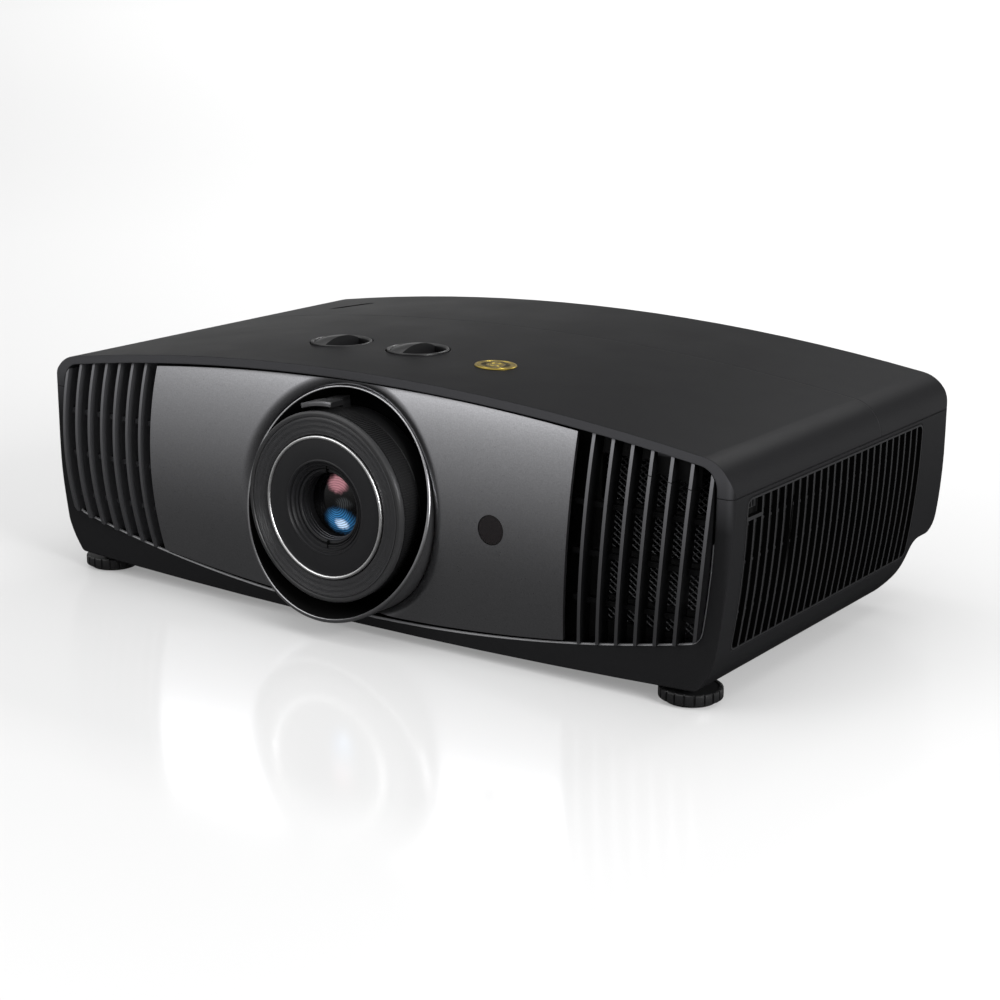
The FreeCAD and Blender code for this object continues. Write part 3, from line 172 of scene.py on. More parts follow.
# materials
def grainedPlastic(name, colour, roughness, grain, depth, specular=0.5, mottling=0.12, ior=1.5, edge=0.0):
    # moulded plastic: spark-eroded grain that scatters the light; grain and depth are in mm
    material, tree, shader, place = startMaterial(name)
    fine = addNode(tree, "ShaderNodeTexNoise", {"Vector": place, "Scale": 1000 / grain, "Detail": 2.0})
    broad = addNode(tree, "ShaderNodeTexNoise", {"Vector": place, "Scale": 24.0, "Detail": 3.0})
    dark, light = shade(colour, 1 - mottling), shade(colour, 1 + mottling)
    tint = addNode(tree, "ShaderNodeMix", {0: fine, 6: dark, 7: light}, data_type="RGBA")
    rough = addNode(tree, "ShaderNodeMapRange", {"Value": broad, "To Min": roughness - 0.04,
                                                  "To Max": roughness + 0.05})
    bump = addNode(tree, "ShaderNodeBump", {"Height": fine, "Distance": depth * mm, "Strength": 0.6})
    if edge:
        # moulded edges are never sharp: a small round catches a line of light
        setInputs(bump, {"Normal": addNode(tree, "ShaderNodeBevel", {"Radius": edge * mm}, samples=6)})
    setInputs(shader, {"Base Color": tint.outputs[2], "Roughness": rough, "Normal": bump,
                       "Specular IOR Level": specular, "IOR": ior})
    return material


def caseFinish():
    # the cover's front lip is painted lighter than the grained top: a painted highlight where the lip catches
    # the light
    material = grainedPlastic("textured black ABS", "1b1b1c", 0.40, 0.7, 0.05, 0.26, 0.12, 1.12, 1.2)
    tree, shader, plain, place, facing = reopen(material)
    front = addNode(tree, "ShaderNodeMapRange", {"Value": facing.outputs["Y"], "From Min": -0.5,
                                                  "From Max": -0.9})
    high = addNode(tree, "ShaderNodeMapRange", {"Value": place.outputs["Z"], "From Min": 0.10,
                                                 "From Max": 0.13})
    # painted highlight: faces turned forward, high on the cover, get a lighter colour
    lip = addNode(tree, "ShaderNodeMath", {0: front, 1: high}, operation="MULTIPLY")
    tint = addNode(tree, "ShaderNodeMix", {0: lip, 6: plain, 7: hexColour("3c3c3e")}, data_type="RGBA")
    setInputs(shader, {"Base Color": tint.outputs[2]})
    return material


def groovedFace():
    # turned ring face: fine grooves run round the axis, with a bump for their relief and a lighter and darker
    # ring painted on each as its highlight
    pitch = 0.78    # mm between grooves, drawn coarse enough to show
    material, tree, shader, place = startMaterial("turned black anodised ring face")
    centred = addNode(tree, "ShaderNodeMapping", {"Vector": place, "Scale": (1000, 0, 1000),
                                                   "Location": (-lensAxis[0], 0, -lensAxis[1])})
    away = addNode(tree, "ShaderNodeVectorMath", {0: centred}, operation="LENGTH")
    turned = addNode(tree, "ShaderNodeMath", {0: away.outputs["Value"], 1: 2 * math.pi / pitch},
                     operation="MULTIPLY")
    wave = addNode(tree, "ShaderNodeMath", {0: turned}, operation="SINE")
    # painted highlight: the colour swings between dark and light with each groove
    light = addNode(tree, "ShaderNodeMapRange", {"Value": wave, "From Min": -1.0, "From Max": 1.0})
    tint = addNode(tree, "ShaderNodeMix", {0: light, 6: hexColour("1b1b1c"), 7: hexColour("3a3a3c")},
                   data_type="RGBA")
    fine = addNode(tree, "ShaderNodeTexNoise", {"Vector": place, "Scale": 500.0, "Detail": 2.0})
    rough = addNode(tree, "ShaderNodeMapRange", {"Value": fine, "To Min": 0.34, "To Max": 0.46})
    bump = addNode(tree, "ShaderNodeBump", {"Height": wave, "Distance": 0.08 * mm, "Strength": 0.6})
    setInputs(shader, {"Base Color": tint.outputs[2], "Roughness": rough, "Normal": bump})
    return material


def slatFinish():
    # moulded slats: plain sides, painted lighter on the left grille for the light falling on the sides turned
    # to the camera there, and front edges wiped with metallic lacquer
    material = grainedPlastic("black slat ABS with lacquered edges", "0d0d0e", 0.42, 0.5, 0.03, 0.15)
    tree, shader, black, place, facing = reopen(material)
    front = addNode(tree, "ShaderNodeMapRange", {"Value": facing.outputs["Y"], "From Min": -0.55,
                                                  "From Max": -0.85})
    # the cross ribs stand behind the slats' bulging fronts and stay plain
    foremost = (fasciaShape["bulge"] - caseShape["front"]) * mm
    curve = -0.5 / (fasciaShape["bulgeRadius"] * mm)
    rise = addNode(tree, "ShaderNodeMath", {0: place.outputs["Z"], 1: fasciaShape["bulgeHeight"] * mm},
                   operation="SUBTRACT")
    squared = addNode(tree, "ShaderNodeMath", {0: rise, 1: 2.0}, operation="POWER")
    bulge = addNode(tree, "ShaderNodeMath", {0: squared, 1: curve, 2: foremost}, operation="MULTIPLY_ADD")
    depth = addNode(tree, "ShaderNodeMath", {0: place.outputs["Y"], 1: bulge})
    near = addNode(tree, "ShaderNodeMapRange", {"Value": depth, "From Min": 0.005, "From Max": 0.003})
    edge = addNode(tree, "ShaderNodeMath", {0: front, 1: near}, operation="MULTIPLY")
    # painted light: slat sides on the left grille get a lighter colour for the light that falls on them
    left = addNode(tree, "ShaderNodeMapRange", {"Value": place.outputs["X"], "From Min": 0.05,
                                                 "From Max": -0.05})
    sides = addNode(tree, "ShaderNodeMix", {0: left, 6: black, 7: hexColour("39393b")}, data_type="RGBA")
    tint = addNode(tree, "ShaderNodeMix", {0: edge, 6: sides.outputs[2], 7: hexColour("858588")},
                   data_type="RGBA")
    setInputs(shader, {"Base Color": tint.outputs[2], "Metallic": edge})
    return material


def ventFinish():
    # side vents: faces turned outward are painted lighter for the light that falls on them, and the slots
    # between them are painted near black as shade
    material = grainedPlastic("black vent ABS with painted light and shade", "050505", 0.45, 0.5, 0.03, 0.3, 0.12, 1.2, 0.25)
    tree, shader, black, _, facing = reopen(material)
    # painted light and shade: faces turned outward lighter, all other faces near black
    outward = addNode(tree, "ShaderNodeMath", {0: facing.outputs["X"]}, operation="ABSOLUTE")
    outer = addNode(tree, "ShaderNodeMapRange", {"Value": outward, "From Min": 0.6, "From Max": 0.85})
    tint = addNode(tree, "ShaderNodeMix", {0: outer, 6: black, 7: hexColour("242425")}, data_type="RGBA")
    setInputs(shader, {"Base Color": tint.outputs[2]})
    return material


def paintedMetallic(name, colour, roughness):
    # metallic lacquer: aluminium flakes sparkle in a clear coat; they are drawn 0.7 mm wide so that they show
    material, tree, shader, place = startMaterial(name)
    flakes = addNode(tree, "ShaderNodeTexNoise", {"Vector": place, "Scale": 1400.0, "Detail": 1.0})
    fleck = addNode(tree, "ShaderNodeMapRange", {"Value": flakes, "From Min": 0.3, "From Max": 0.7})
    tint = addNode(tree, "ShaderNodeMix", {0: fleck, 6: shade(colour, 0.92), 7: shade(colour, 1.08)},
                   data_type="RGBA")
    rough = addNode(tree, "ShaderNodeMapRange", {"Value": flakes, "To Min": roughness - 0.05,
                                                  "To Max": roughness + 0.05})
    bump = addNode(tree, "ShaderNodeBump", {"Height": flakes, "Distance": 0.04 * mm, "Strength": 0.5})
    setInputs(shader, {"Base Color": tint.outputs[2], "Roughness": rough, "Normal": bump, "Metallic": 1.0})
    return material


def machinedMetal(name, colour, roughness, along=(1.0, 1.0, 1.0)):
    # turned or ground metal: fine tool marks run round or along the piece
    material, tree, shader, place = startMaterial(name)
    stretch = addNode(tree, "ShaderNodeMapping", {"Vector": place, "Scale": along})
    marks = addNode(tree, "ShaderNodeTexNoise", {"Vector": stretch, "Scale": 900.0, "Detail": 2.0})
    tint = addNode(tree, "ShaderNodeMix", {0: marks, 6: shade(colour, 0.88), 7: shade(colour, 1.1)},
                   data_type="RGBA")
    rough = addNode(tree, "ShaderNodeMapRange", {"Value": marks, "To Min": roughness * 0.8,
                                                  "To Max": roughness * 1.25})
    setInputs(shader, {"Base Color": tint.outputs[2], "Roughness": rough, "Metallic": 1.0})
    return material


def clearGlass(name, colour, alpha, roughness, metallic):
    # coated optical glass: the coating tints what it mirrors
    material, tree, shader, place = startMaterial(name)
    haze = addNode(tree, "ShaderNodeTexNoise", {"Vector": place, "Scale": 300.0, "Detail": 1.0})
    rough = addNode(tree, "ShaderNodeMapRange", {"Value": haze, "To Min": roughness * 0.8,
                                                  "To Max": roughness * 1.2})
    setInputs(shader, {"Base Color": hexColour(colour), "Roughness": rough, "Metallic": metallic,
                       "Alpha": alpha})
    return material


def circuitBoard(name, colour):
    # solder mask over copper tracks: the tracks show as slightly lighter straight lines
    material, tree, shader, place = startMaterial(name)
    tracks = addNode(tree, "ShaderNodeTexBrick", {"Vector": place, "Scale": 60.0, "Mortar Size": 0.012,
                                                   "Color1": hexColour(colour), "Color2": hexColour("1d4a2b"),
                                                   "Mortar": hexColour("4f8a57")})
    setInputs(shader, {"Base Color": tracks, "Roughness": 0.38})
    return material


materials = {
    "case": caseFinish(),
    "satin": grainedPlastic("satin black ABS", "161617", 0.38, 0.5, 0.03, 0.40),
    "slat": slatFinish(),
    "slatEdge": paintedMetallic("dark metallic lacquer", "5c5c5f", 0.34),
    "vent": ventFinish(),
    "matt": grainedPlastic("matt black polycarbonate", "0e0e0f", 0.55, 0.5, 0.03, 0.35),
    "face": grainedPlastic("matt black lens face paint", "18181a", 0.50, 0.4, 0.02, 0.35),
    "collar": grainedPlastic("satin charcoal collar ABS", "2a2a2b", 0.35, 0.5, 0.02, 0.5),
    "grooved": groovedFace(),
    # the rim's light grey is a polished metallic finish that also stands for the highlight on the collar's
    # thin edge
    "rim": paintedMetallic("polished collar rim with a painted highlight", "b2b2b4", 0.32),
    "void": grainedPlastic("light-trap black flock", "030303", 0.9, 0.5, 0.05, 0.1),
    "fascia": paintedMetallic("graphite metallic lacquer", "a9a9ac", 0.30),
    "silver": machinedMetal("diamond-cut aluminium", "fafafa", 0.38),
    "wire": paintedMetallic("dark grey painted steel wire", "77787a", 0.45),
    "rubber": grainedPlastic("moulded rubber", "121212", 0.75, 0.6, 0.08, 0.3),
    "brass": machinedMetal("turned brass", "c9a75c", 0.3),
    "gold": machinedMetal("brushed gold anodised aluminium", "a8923c", 0.32, (1.0, 12.0, 1.0)),
    # the bead's light grey is a painted highlight; its low roughness is the polish
    "bead": grainedPlastic("polished edge of the moulding with a painted highlight", "6a6a6c", 0.3, 0.5, 0.01, 0.6),
    "steel": machinedMetal("ground steel", "b9babc", 0.25),
    "zinc": machinedMetal("zinc plated steel", "8f9294", 0.35),
    "cast": machinedMetal("die-cast magnesium", "77787a", 0.5),
    "heat": machinedMetal("extruded aluminium", "a9abad", 0.4, (1.0, 1.0, 8.0)),
    "anodised": machinedMetal("black anodised aluminium", "2a2a2c", 0.4),
    "foam": grainedPlastic("reticulated foam", "0e0e0e", 0.9, 1.6, 0.6, 0.1, 0.5),
    "lampPlastic": grainedPlastic("glass-filled polyphenylene sulphide", "5a554d", 0.55, 0.8, 0.05, 0.4),
    "mirror": machinedMetal("dichroic coated reflector glass", "cfd3dd", 0.08),
    "board": circuitBoard("green solder mask", "163a22"),
    "infrared": grainedPlastic("infrared-pass acrylic", "1a1718", 0.12, 0.6, 0.002, 0.5),
    "filterGlass": clearGlass("dichroic filter glass", "c98d6a", 0.5, 0.1, 0.4),
}
finishes = {
    "case_plastic": "case", "grille_plastic": "slat", "mesh_wire": "wire", "ir_plastic": "infrared",
    "ring_plastic": "matt", "accent_metal": "silver", "coated_glass": "filterGlass",
    "barrel_metal": "anodised",
    "rod_steel": "steel", "dial_plastic": "satin", "badge_metal": "gold", "filter_foam": "foam",
    "panel_plastic": "case", "socket_plastic": "satin", "socket_metal": "zinc", "circuit_board": "board",
    "engine_casting": "cast", "fan_plastic": "satin", "lamp_plastic": "lampPlastic",
    "reflector_glass": "mirror",
    "wheel_glass": "filterGlass", "motor_metal": "steel", "insert_brass": "brass", "foot_rubber": "rubber",
    "foot_plastic": "satin", "fascia_paint": "fascia"}
special = {"heat_sink": "heat", "filter_cover": "vent", "left_side_grille": "vent", "front_subframe": "matt",
           "lens_baffle": "void", "filter_latch": "satin"}
for row in frame["record"]["subparts"]:
    node = nodes[row["node"]]
    chosen = materials[special.get(row["node"], finishes[row["material_slot"]])]
    node.data.materials.clear()
    node.data.materials.append(chosen)
print("materials set on", len(nodes), "nodes")


# Geometry Nodes: things that repeat
def startTree(name, sockets):
    tree = bpy.data.node_groups.new(name, "GeometryNodeTree")
    for label, kind, value in sockets:
        socket = tree.interface.new_socket(label, in_out="INPUT", socket_type=kind)
        if value is not None:
            socket.default_value = value
    tree.interface.new_socket("Geometry", in_out="OUTPUT", socket_type="NodeSocketGeometry")
    return tree, addNode(tree, "NodeGroupInput").outputs


def endTree(tree, geometry):
    source = [node for node in tree.nodes if node.bl_idname == "NodeGroupInput"][0]
    real = addNode(tree, "GeometryNodeRealizeInstances", {0: geometry})
    painted = addNode(tree, "GeometryNodeSetMaterial", {0: real, "Material": source.outputs["Material"]})
    addNode(tree, "NodeGroupOutput", {0: painted})
    return tree


def grow(name, tree, values, angle=35):
    # runs a tree once on an empty mesh and keeps the result as a plain mesh
    carrier = bpy.data.objects.new(name + "Carrier", bpy.data.meshes.new(name + "Carrier"))
    bpy.context.scene.collection.objects.link(carrier)
    modifier = carrier.modifiers.new("grow", "NODES")
    modifier.node_group = tree
    for item in tree.interface.items_tree:
        if item.in_out == "INPUT" and item.name in values:
            modifier[item.identifier] = values[item.name]
    depsgraph = bpy.context.evaluated_depsgraph_get()
    mesh = bpy.data.meshes.new_from_object(carrier.evaluated_get(depsgraph), depsgraph=depsgraph)
    bpy.data.objects.remove(carrier)
    mesh.name = name
    mesh.set_sharp_from_angle(angle=math.radians(angle))
    piece = bpy.data.objects.new(name, mesh)
    bpy.context.scene.collection.objects.link(piece)
    return piece


def wireTree():
    # a diamond wire mesh over a window: a turned grid, trimmed to the window, each edge a thin wire
    tree, given = startTree("diamondWire", [
        ("Low X", "NodeSocketFloat", 0.16), ("High X", "NodeSocketFloat", 0.23),
        ("Low Z", "NodeSocketFloat", 0.02), ("High Z", "NodeSocketFloat", 0.13),
        ("Depth", "NodeSocketFloat", -0.102), ("Cells", "NodeSocketInt", 60),
        ("Size", "NodeSocketFloat", 0.16), ("Wire", "NodeSocketFloat", 0.0004),
        ("Material", "NodeSocketMaterial", None)])
    middle = []
    for letter in ("X", "Z"):
        ends = addNode(tree, "ShaderNodeMath", {0: given["Low " + letter], 1: given["High " + letter]})
        middle.append(addNode(tree, "ShaderNodeMath", {0: ends, 1: 0.5}, operation="MULTIPLY"))
    centre = addNode(tree, "ShaderNodeCombineXYZ", {0: middle[0], 1: given["Depth"], 2: middle[1]})
    net = addNode(tree, "GeometryNodeMeshGrid", {"Size X": given["Size"], "Size Y": given["Size"],
                                                  "Vertices X": given["Cells"], "Vertices Y": given["Cells"]})
    turned = addNode(tree, "GeometryNodeTransform", {0: net, "Rotation": (0, 0, math.radians(45))})
    stood = addNode(tree, "GeometryNodeTransform", {0: turned, "Rotation": (math.radians(90), 0, 0),
                                                     "Scale": (1.25, 0.85, 1.0), "Translation": centre})
    place = addNode(tree, "ShaderNodeSeparateXYZ", {0: addNode(tree, "GeometryNodeInputPosition")})
    outside = 0.0
    for letter in ("X", "Z"):
        for end, how in (("Low ", "LESS_THAN"), ("High ", "GREATER_THAN")):
            past = addNode(tree, "ShaderNodeMath", {0: place.outputs[letter], 1: given[end + letter]},
                           operation=how)
            outside = addNode(tree, "ShaderNodeMath", {0: outside, 1: past}, operation="MAXIMUM")
    trimmed = addNode(tree, "GeometryNodeDeleteGeometry", {0: stood, 1: outside})
    lines = addNode(tree, "GeometryNodeMeshToCurve", {0: trimmed})
    profile = addNode(tree, "GeometryNodeCurvePrimitiveCircle", {"Resolution": 4, "Radius": given["Wire"]})
    wires = addNode(tree, "GeometryNodeCurveToMesh", {"Curve": lines, "Profile Curve": profile})
    return endTree(tree, wires)


def ribTree():
    # small bars set round a ring, each with its long side along the ring's axis (+Z)
    tree, given = startTree("barsOnRing", [
        ("Count", "NodeSocketInt", 100), ("Radius", "NodeSocketFloat", 0.05),
        ("Bar", "NodeSocketVector", (0.001, 0.0006, 0.01)), ("Place", "NodeSocketVector", (0, 0, 0)),
        ("Turn", "NodeSocketVector", (0, 0, 0)), ("Material", "NodeSocketMaterial", None)])
    ring = addNode(tree, "GeometryNodeMeshCircle", {"Vertices": given["Count"], "Radius": given["Radius"]})
    bar = addNode(tree, "GeometryNodeMeshCube", {"Size": given["Bar"]})
    spot = addNode(tree, "ShaderNodeSeparateXYZ", {0: addNode(tree, "GeometryNodeInputPosition")})
    heading = addNode(tree, "ShaderNodeMath", {0: spot.outputs[1], 1: spot.outputs[0]}, operation="ARCTAN2")
    facing = addNode(tree, "ShaderNodeCombineXYZ", {2: heading})
    bars = addNode(tree, "GeometryNodeInstanceOnPoints", {"Points": ring, "Instance": bar,
                                                           "Rotation": facing})
    placed = addNode(tree, "GeometryNodeTransform", {0: bars, "Rotation": given["Turn"],
                                                      "Translation": given["Place"]})
    return endTree(tree, placed)


diamondWire = wireTree()
barsOnRing = ribTree()


def joinPieces(name, parts):
    bm = bmesh.new()
    mesh = bpy.data.meshes.new(name)
    slots = []
    for part in parts:
        offset = {}
        for i, material in enumerate(part.data.materials):
            if material not in slots:
                slots.append(material)
            offset[i] = slots.index(material)
        first = len(bm.faces)
        bm.from_mesh(part.data)
        bm.faces.ensure_lookup_table()
        for face in bm.faces[first:]:
            face.material_index = offset.get(face.material_index, 0)
        bpy.data.objects.remove(part)
    bm.to_mesh(mesh)
    bm.free()
    for material in slots:
        mesh.materials.append(material)
    piece = bpy.data.objects.new(name, mesh)
    bpy.context.scene.collection.objects.link(piece)
    return piece


# fascia: a bulging painted panel that flares round the lens collar
def fasciaLimit(x, z):
    # above zero inside the panel's outline
    s, f = caseShape, fasciaShape
    crown = s["crownRadius"] - s["lip"] - f["gap"] - math.hypot(x, z - (s["top"] - s["crownRadius"]))
    sill = s["sillRadius"] - f["gap"] - math.hypot(x, z - (s["bottom"] + s["sillHeight"] + s["sillRadius"]))
    sides = []
    for sign, edge in ((1, f["right"]), (-1, f["left"])):
        radius = s["flankRadius"] * s["halfWidth"] / edge
        sides.append(radius - math.hypot(x - sign * (edge - radius), z - s["flankHeight"]))
    return min([crown, sill] + sides)


def fasciaDepth(x, z):
    s, f = caseShape, fasciaShape
    base = s["front"] - f["bulge"] + f["bulgeRadius"] - math.sqrt(
        f["bulgeRadius"] ** 2 - (z - f["bulgeHeight"]) ** 2)
    away = (math.hypot(x - lensAxis[0], z - lensAxis[1]) - f["hole"]) / f["flareWidth"]
    return base + f["flare"] * max(0.0, 1 - away) ** 2


def makeFascia():
    f = fasciaShape
    bm = bmesh.new()
    turns, spans = 720, 46
    angles = [2 * math.pi * k / turns for k in range(turns)]
    # the panel's four corners each get a spoke of their own
    for sx, edge in ((-1, f["left"]), (1, f["right"])):
        for guess in (16, 142):
            tries = [(sx * (edge - d * 0.05), guess + e * 0.1) for d in range(160) for e in range(-160, 160)]
            best = max((p for p in tries if fasciaLimit(*p) > 0),
                       key=lambda p: abs(p[0]) + (1 if guess > 80 else -1) * p[1])
            angle = math.atan2(best[1] - lensAxis[1], best[0] - lensAxis[0]) % (2 * math.pi)
            angles[min(range(turns), key=lambda k: abs(angles[k] - angle))] = angle
    # the other spokes run from the lens hole out to the panel's edge, which is found by halving
    rows = []
    for angle in angles:
        ux, uz = math.cos(angle), math.sin(angle)
        low, high = f["hole"], 400.0
        if fasciaLimit(lensAxis[0] + ux * low, lensAxis[1] + uz * low) <= 0:
            high = low + 0.15
        while high - low > 0.001:
            mid = (low + high) / 2
            if fasciaLimit(lensAxis[0] + ux * mid, lensAxis[1] + uz * mid) > 0:
                low = mid
            else:
                high = mid
        edge = low
        row = []
        for i in range(spans + 1):
            t = i / spans
            reach = f["hole"] + (edge - f["hole"]) * t ** 1.6
            x, z = lensAxis[0] + ux * reach, lensAxis[1] + uz * reach
            row.append(bm.verts.new(Vector((x, fasciaDepth(x, z), z)) * mm))
        rows.append(row)
    for k in range(turns):
        one, two = rows[k], rows[(k + 1) % turns]
        for i in range(spans):
            bm.faces.new((one[i], two[i], two[i + 1], one[i + 1]))
    bmesh.ops.recalc_face_normals(bm, faces=bm.faces)
    middle = bm.faces[:][spans * 10]
    if middle.normal.y > 0:
        bmesh.ops.reverse_faces(bm, faces=bm.faces)
    openEye(bm)
    panel = finishSheet("fasciaPanel", bm, materials["fascia"])
    wall = panel.modifiers.new("wall", "SOLIDIFY")
    wall.thickness, wall.offset = f["wall"] * mm, -1.0
    return bakeModifiers(panel, 30)


def openEye(bm):
    # a round hole for the receiver window: finer faces, the middle removed, its edge drawn onto a circle
    f = fasciaShape
    eye = Vector((f["eyeX"], f["eyeZ"])) * mm
    radius = f["eye"] * mm

    def away(point):
        return (Vector((point.x, point.z)) - eye).length
    near = [e for e in bm.edges if min(away(v.co) for v in e.verts) < radius * 1.7]
    bmesh.ops.subdivide_edges(bm, edges=near, cuts=3, use_grid_fill=True)
    gone = [face for face in bm.faces if away(face.calc_center_median()) < radius]
    bmesh.ops.delete(bm, geom=gone, context="FACES")
    for v in bm.verts:
        if v.is_boundary and away(v.co) < radius * 1.35:
            offset = (Vector((v.co.x, v.co.z)) - eye).normalized() * radius
            v.co.x, v.co.z = eye.x + offset.x, eye.y + offset.y


def finishSheet(name, bm, material):
    mesh = bpy.data.meshes.new(name)
    bm.to_mesh(mesh)
    bm.free()
    mesh.materials.append(material)
    piece = bpy.data.objects.new(name, mesh)
    bpy.context.scene.collection.objects.link(piece)
    return piece


def bakeModifiers(piece, angle):
    depsgraph = bpy.context.evaluated_depsgraph_get()
    mesh = bpy.data.meshes.new_from_object(piece.evaluated_get(depsgraph), depsgraph=depsgraph)
    mesh.name = piece.name
    piece.modifiers.clear()
    piece.data = mesh
    mesh.polygons.foreach_set("use_smooth", [True] * len(mesh.polygons))
    mesh.set_sharp_from_angle(angle=math.radians(angle))
    return piece


placePiece(makeFascia(), "front_fascia")
print("fascia made")


# collar: a thin ring whose rim leans forward at the bottom
collarShape = {"outer": 67.3, "inner": 65.8, "seat": 61.5, "out": 25.5, "topOut": -6.0, "back": -103.25,
               "steps": 240}


def makeCollar():
    c = collarShape
    bm = bmesh.new()
    mid, swing = (c["out"] + c["topOut"]) / 2, (c["out"] - c["topOut"]) / 2
    rings = []
    for k in range(c["steps"]):
        angle = 2 * math.pi * k / c["steps"]
        rim = caseShape["front"] - mid + swing * math.sin(angle)
        inner = c["inner"] - 0.55 * (1 - math.sin(angle))
        outline = [(c["outer"], c["back"]), (c["outer"], rim + 1.1), (c["outer"] - 0.15, rim + 0.45),
                   (c["outer"] - 0.5, rim + 0.05), (inner + 0.45, rim + 0.05), (inner + 0.1, rim + 0.5),
                   (inner, rim + 1.3), (c["inner"] - 0.6, rim + 4.0), (c["inner"] - 3.0, c["back"] - 1.6),
                   (c["seat"], c["back"] - 1.6), (c["seat"], c["back"])]
        ring = [(lensAxis[0] + r * math.cos(angle), y, lensAxis[1] + r * math.sin(angle)) for r, y in outline]
        rings.append([bm.verts.new(Vector(point) * mm) for point in ring])
    for k in range(c["steps"]):
        one, two = rings[k], rings[(k + 1) % c["steps"]]
        for i in range(len(one)):
            j = (i + 1) % len(one)
            bm.faces.new((one[i], one[j], two[j], two[i]))
    piece = finishMesh("lensCollar", bm, materials["collar"], 50)
    # the turned rim is made light grey, partly a painted highlight along its thin edge, and the bore is
    # flocked black
    for extra in ("rim", "void"):
        piece.data.materials.append(materials[extra])
    axis = Vector((lensAxis[0], 0, lensAxis[1])) * mm
    for face in piece.data.polygons:
        spoke = face.center - axis
        spoke.y = 0
        rim = (caseShape["front"] - mid + swing * spoke.z / spoke.length) * mm
        if face.center.y < rim + 0.0009:
            face.material_index = 1
        elif spoke.length < (c["inner"] + 0.3) * mm:
            face.material_index = 2
    return piece


placePiece(makeCollar(), "lens_collar")

# focus ring: rounded lip, grooved face, ribbed grip
focusShape = {"front": -145.25, "outer": 56.5, "lipInner": 53.2, "faceInner": 42.8, "depth": 20.0,
              "grooves": 14, "faceFall": 1.1, "bore": 46.4, "tail": 55.2,
              "ribs": 230, "ribRadius": 55.35, "rib": (1.3, 0.75, 13.6), "ribMiddle": 12.0}


def makeFocusRing():
    f = focusShape
    y = f["front"]
    face = [(f["lipInner"], y + 0.9), (f["lipInner"] - 0.5, y + 0.45)]
    pitch = (f["lipInner"] - 1.0 - f["faceInner"] - 0.6) / f["grooves"]
    for k in range(f["grooves"]):
        r = f["lipInner"] - 1.0 - k * pitch
        fall = f["faceFall"] * k / f["grooves"]
        face += [(r, y + 0.3 + fall), (r - pitch * 0.6, y + 0.3 + fall), (r - pitch * 0.8, y + 0.52 + fall)]
    out = f["outer"]
    lip = [(out - 0.9, y + 4.2), (out - 0.1, y + 3.6), (out, y + 2.2), (out - 0.35, y + 0.9),
           (out - 1.1, y + 0.2), (out - 2.0, y), (f["lipInner"] + 0.5, y + 0.15)]
    inner = [(f["faceInner"] + 0.3, y + 1.6), (f["faceInner"], y + 2.0), (f["faceInner"], y + 3.0),
             (f["bore"], y + 3.2), (f["bore"], y + f["depth"]), (f["tail"] - 0.6, y + f["depth"]),
             (f["tail"], y + f["depth"] - 0.6)]
    body = lathe("focusRing", [lip + face + inner], materials["matt"], 240, angle=28)
    # the face takes the grooved finish; the rounded lip takes the lighter collar finish, a painted highlight
    # on the lip
    for extra in ("grooved", "collar"):
        body.data.materials.append(materials[extra])
    axis = Vector((lensAxis[0], 0, lensAxis[1])) * mm
    for part in body.data.polygons:
        spoke = part.center - axis
        spoke.y = 0
        if part.center.y < (y + 1.75) * mm and spoke.length < f["lipInner"] * mm:
            part.material_index = 1
        elif part.center.y < (y + 4.3) * mm and spoke.length > f["lipInner"] * mm:
            part.material_index = 2
    ribs = grow("focusRibs", barsOnRing, {
        "Count": f["ribs"], "Radius": f["ribRadius"] * mm, "Bar": tuple(v * mm for v in f["rib"]),
        "Place": (lensAxis[0] * mm, (y + f["ribMiddle"]) * mm, lensAxis[1] * mm),
        "Turn": (math.radians(90), 0, 0), "Material": materials["matt"]})
    return joinPieces("focusRing", [body, ribs])


placePiece(makeFocusRing(), "focus_ring")

# front cell: flat face, stepped ridges, notched ring, stepped throat; the accent ring lies round its face
cellShape = {"front": -144.45, "outer": 42.3, "face": 40.5, "depth": 8.0, "throat": 17.8, "tail": 20.9,
             "back": 25.6, "accentFront": -145.1, "accentBack": -143.3}


def makeCell():
    c = cellShape
    y, out, face = c["front"], c["outer"], c["face"]
    front = [(out, y + c["depth"]), (out, y + 1.25), (face, y + 1.25), (face, y + 0.15),
             (face - 0.3, y + 0.02), (28.4, y + 0.25), (27.9, y - 0.1), (27.3, y - 0.05),
             (27.0, y + 0.5), (26.8, y + 1.7), (26.0, y + 1.9), (25.6, y + 1.35), (25.1, y + 1.45),
             (24.8, y + 2.1), (24.6, y + 3.2), (23.7, y + 3.4), (23.3, y + 2.9), (22.9, y + 3.0),
             (22.7, y + 3.6), (22.6, y + 5.2), (22.1, y + 5.2), (22.0, y + 4.3), (21.7, y + 4.1)]
    ring = [(c["tail"], y + 4.3), (20.5, y + 4.8), (20.4, y + 6.4), (19.9, y + 6.6), (19.8, y + 8.4),
            (19.6, y + 8.6), (19.6, y + 15.1), (c["throat"], y + 15.2), (c["throat"], y + c["back"])]
    back = [(c["tail"], y + c["back"]), (c["tail"] + 0.1, y + 9.0), (out - 3.0, y + 8.2)]
    return lathe("lensCell", [front + ring + back], materials["face"], 200, angle=25)


def makeNotches():
    # a short radial notch line at the top and bottom of the inner ring
    bm = bmesh.new()
    y = cellShape["front"]
    for side in (-1, 1):
        z0, z1 = lensAxis[1] + side * 20.2, lensAxis[1] + side * 24.9
        at = Vector((lensAxis[0], y + 3.6, (z0 + z1) / 2)) * mm
        made = bmesh.ops.create_cube(bm, size=1.0)
        for v in made["verts"]:
            v.co = Vector((v.co.x * 0.6 * mm, v.co.y * 1.6 * mm, v.co.z * abs(z1 - z0) * mm)) + at
    return finishMesh("cellNotches", bm, materials["void"])


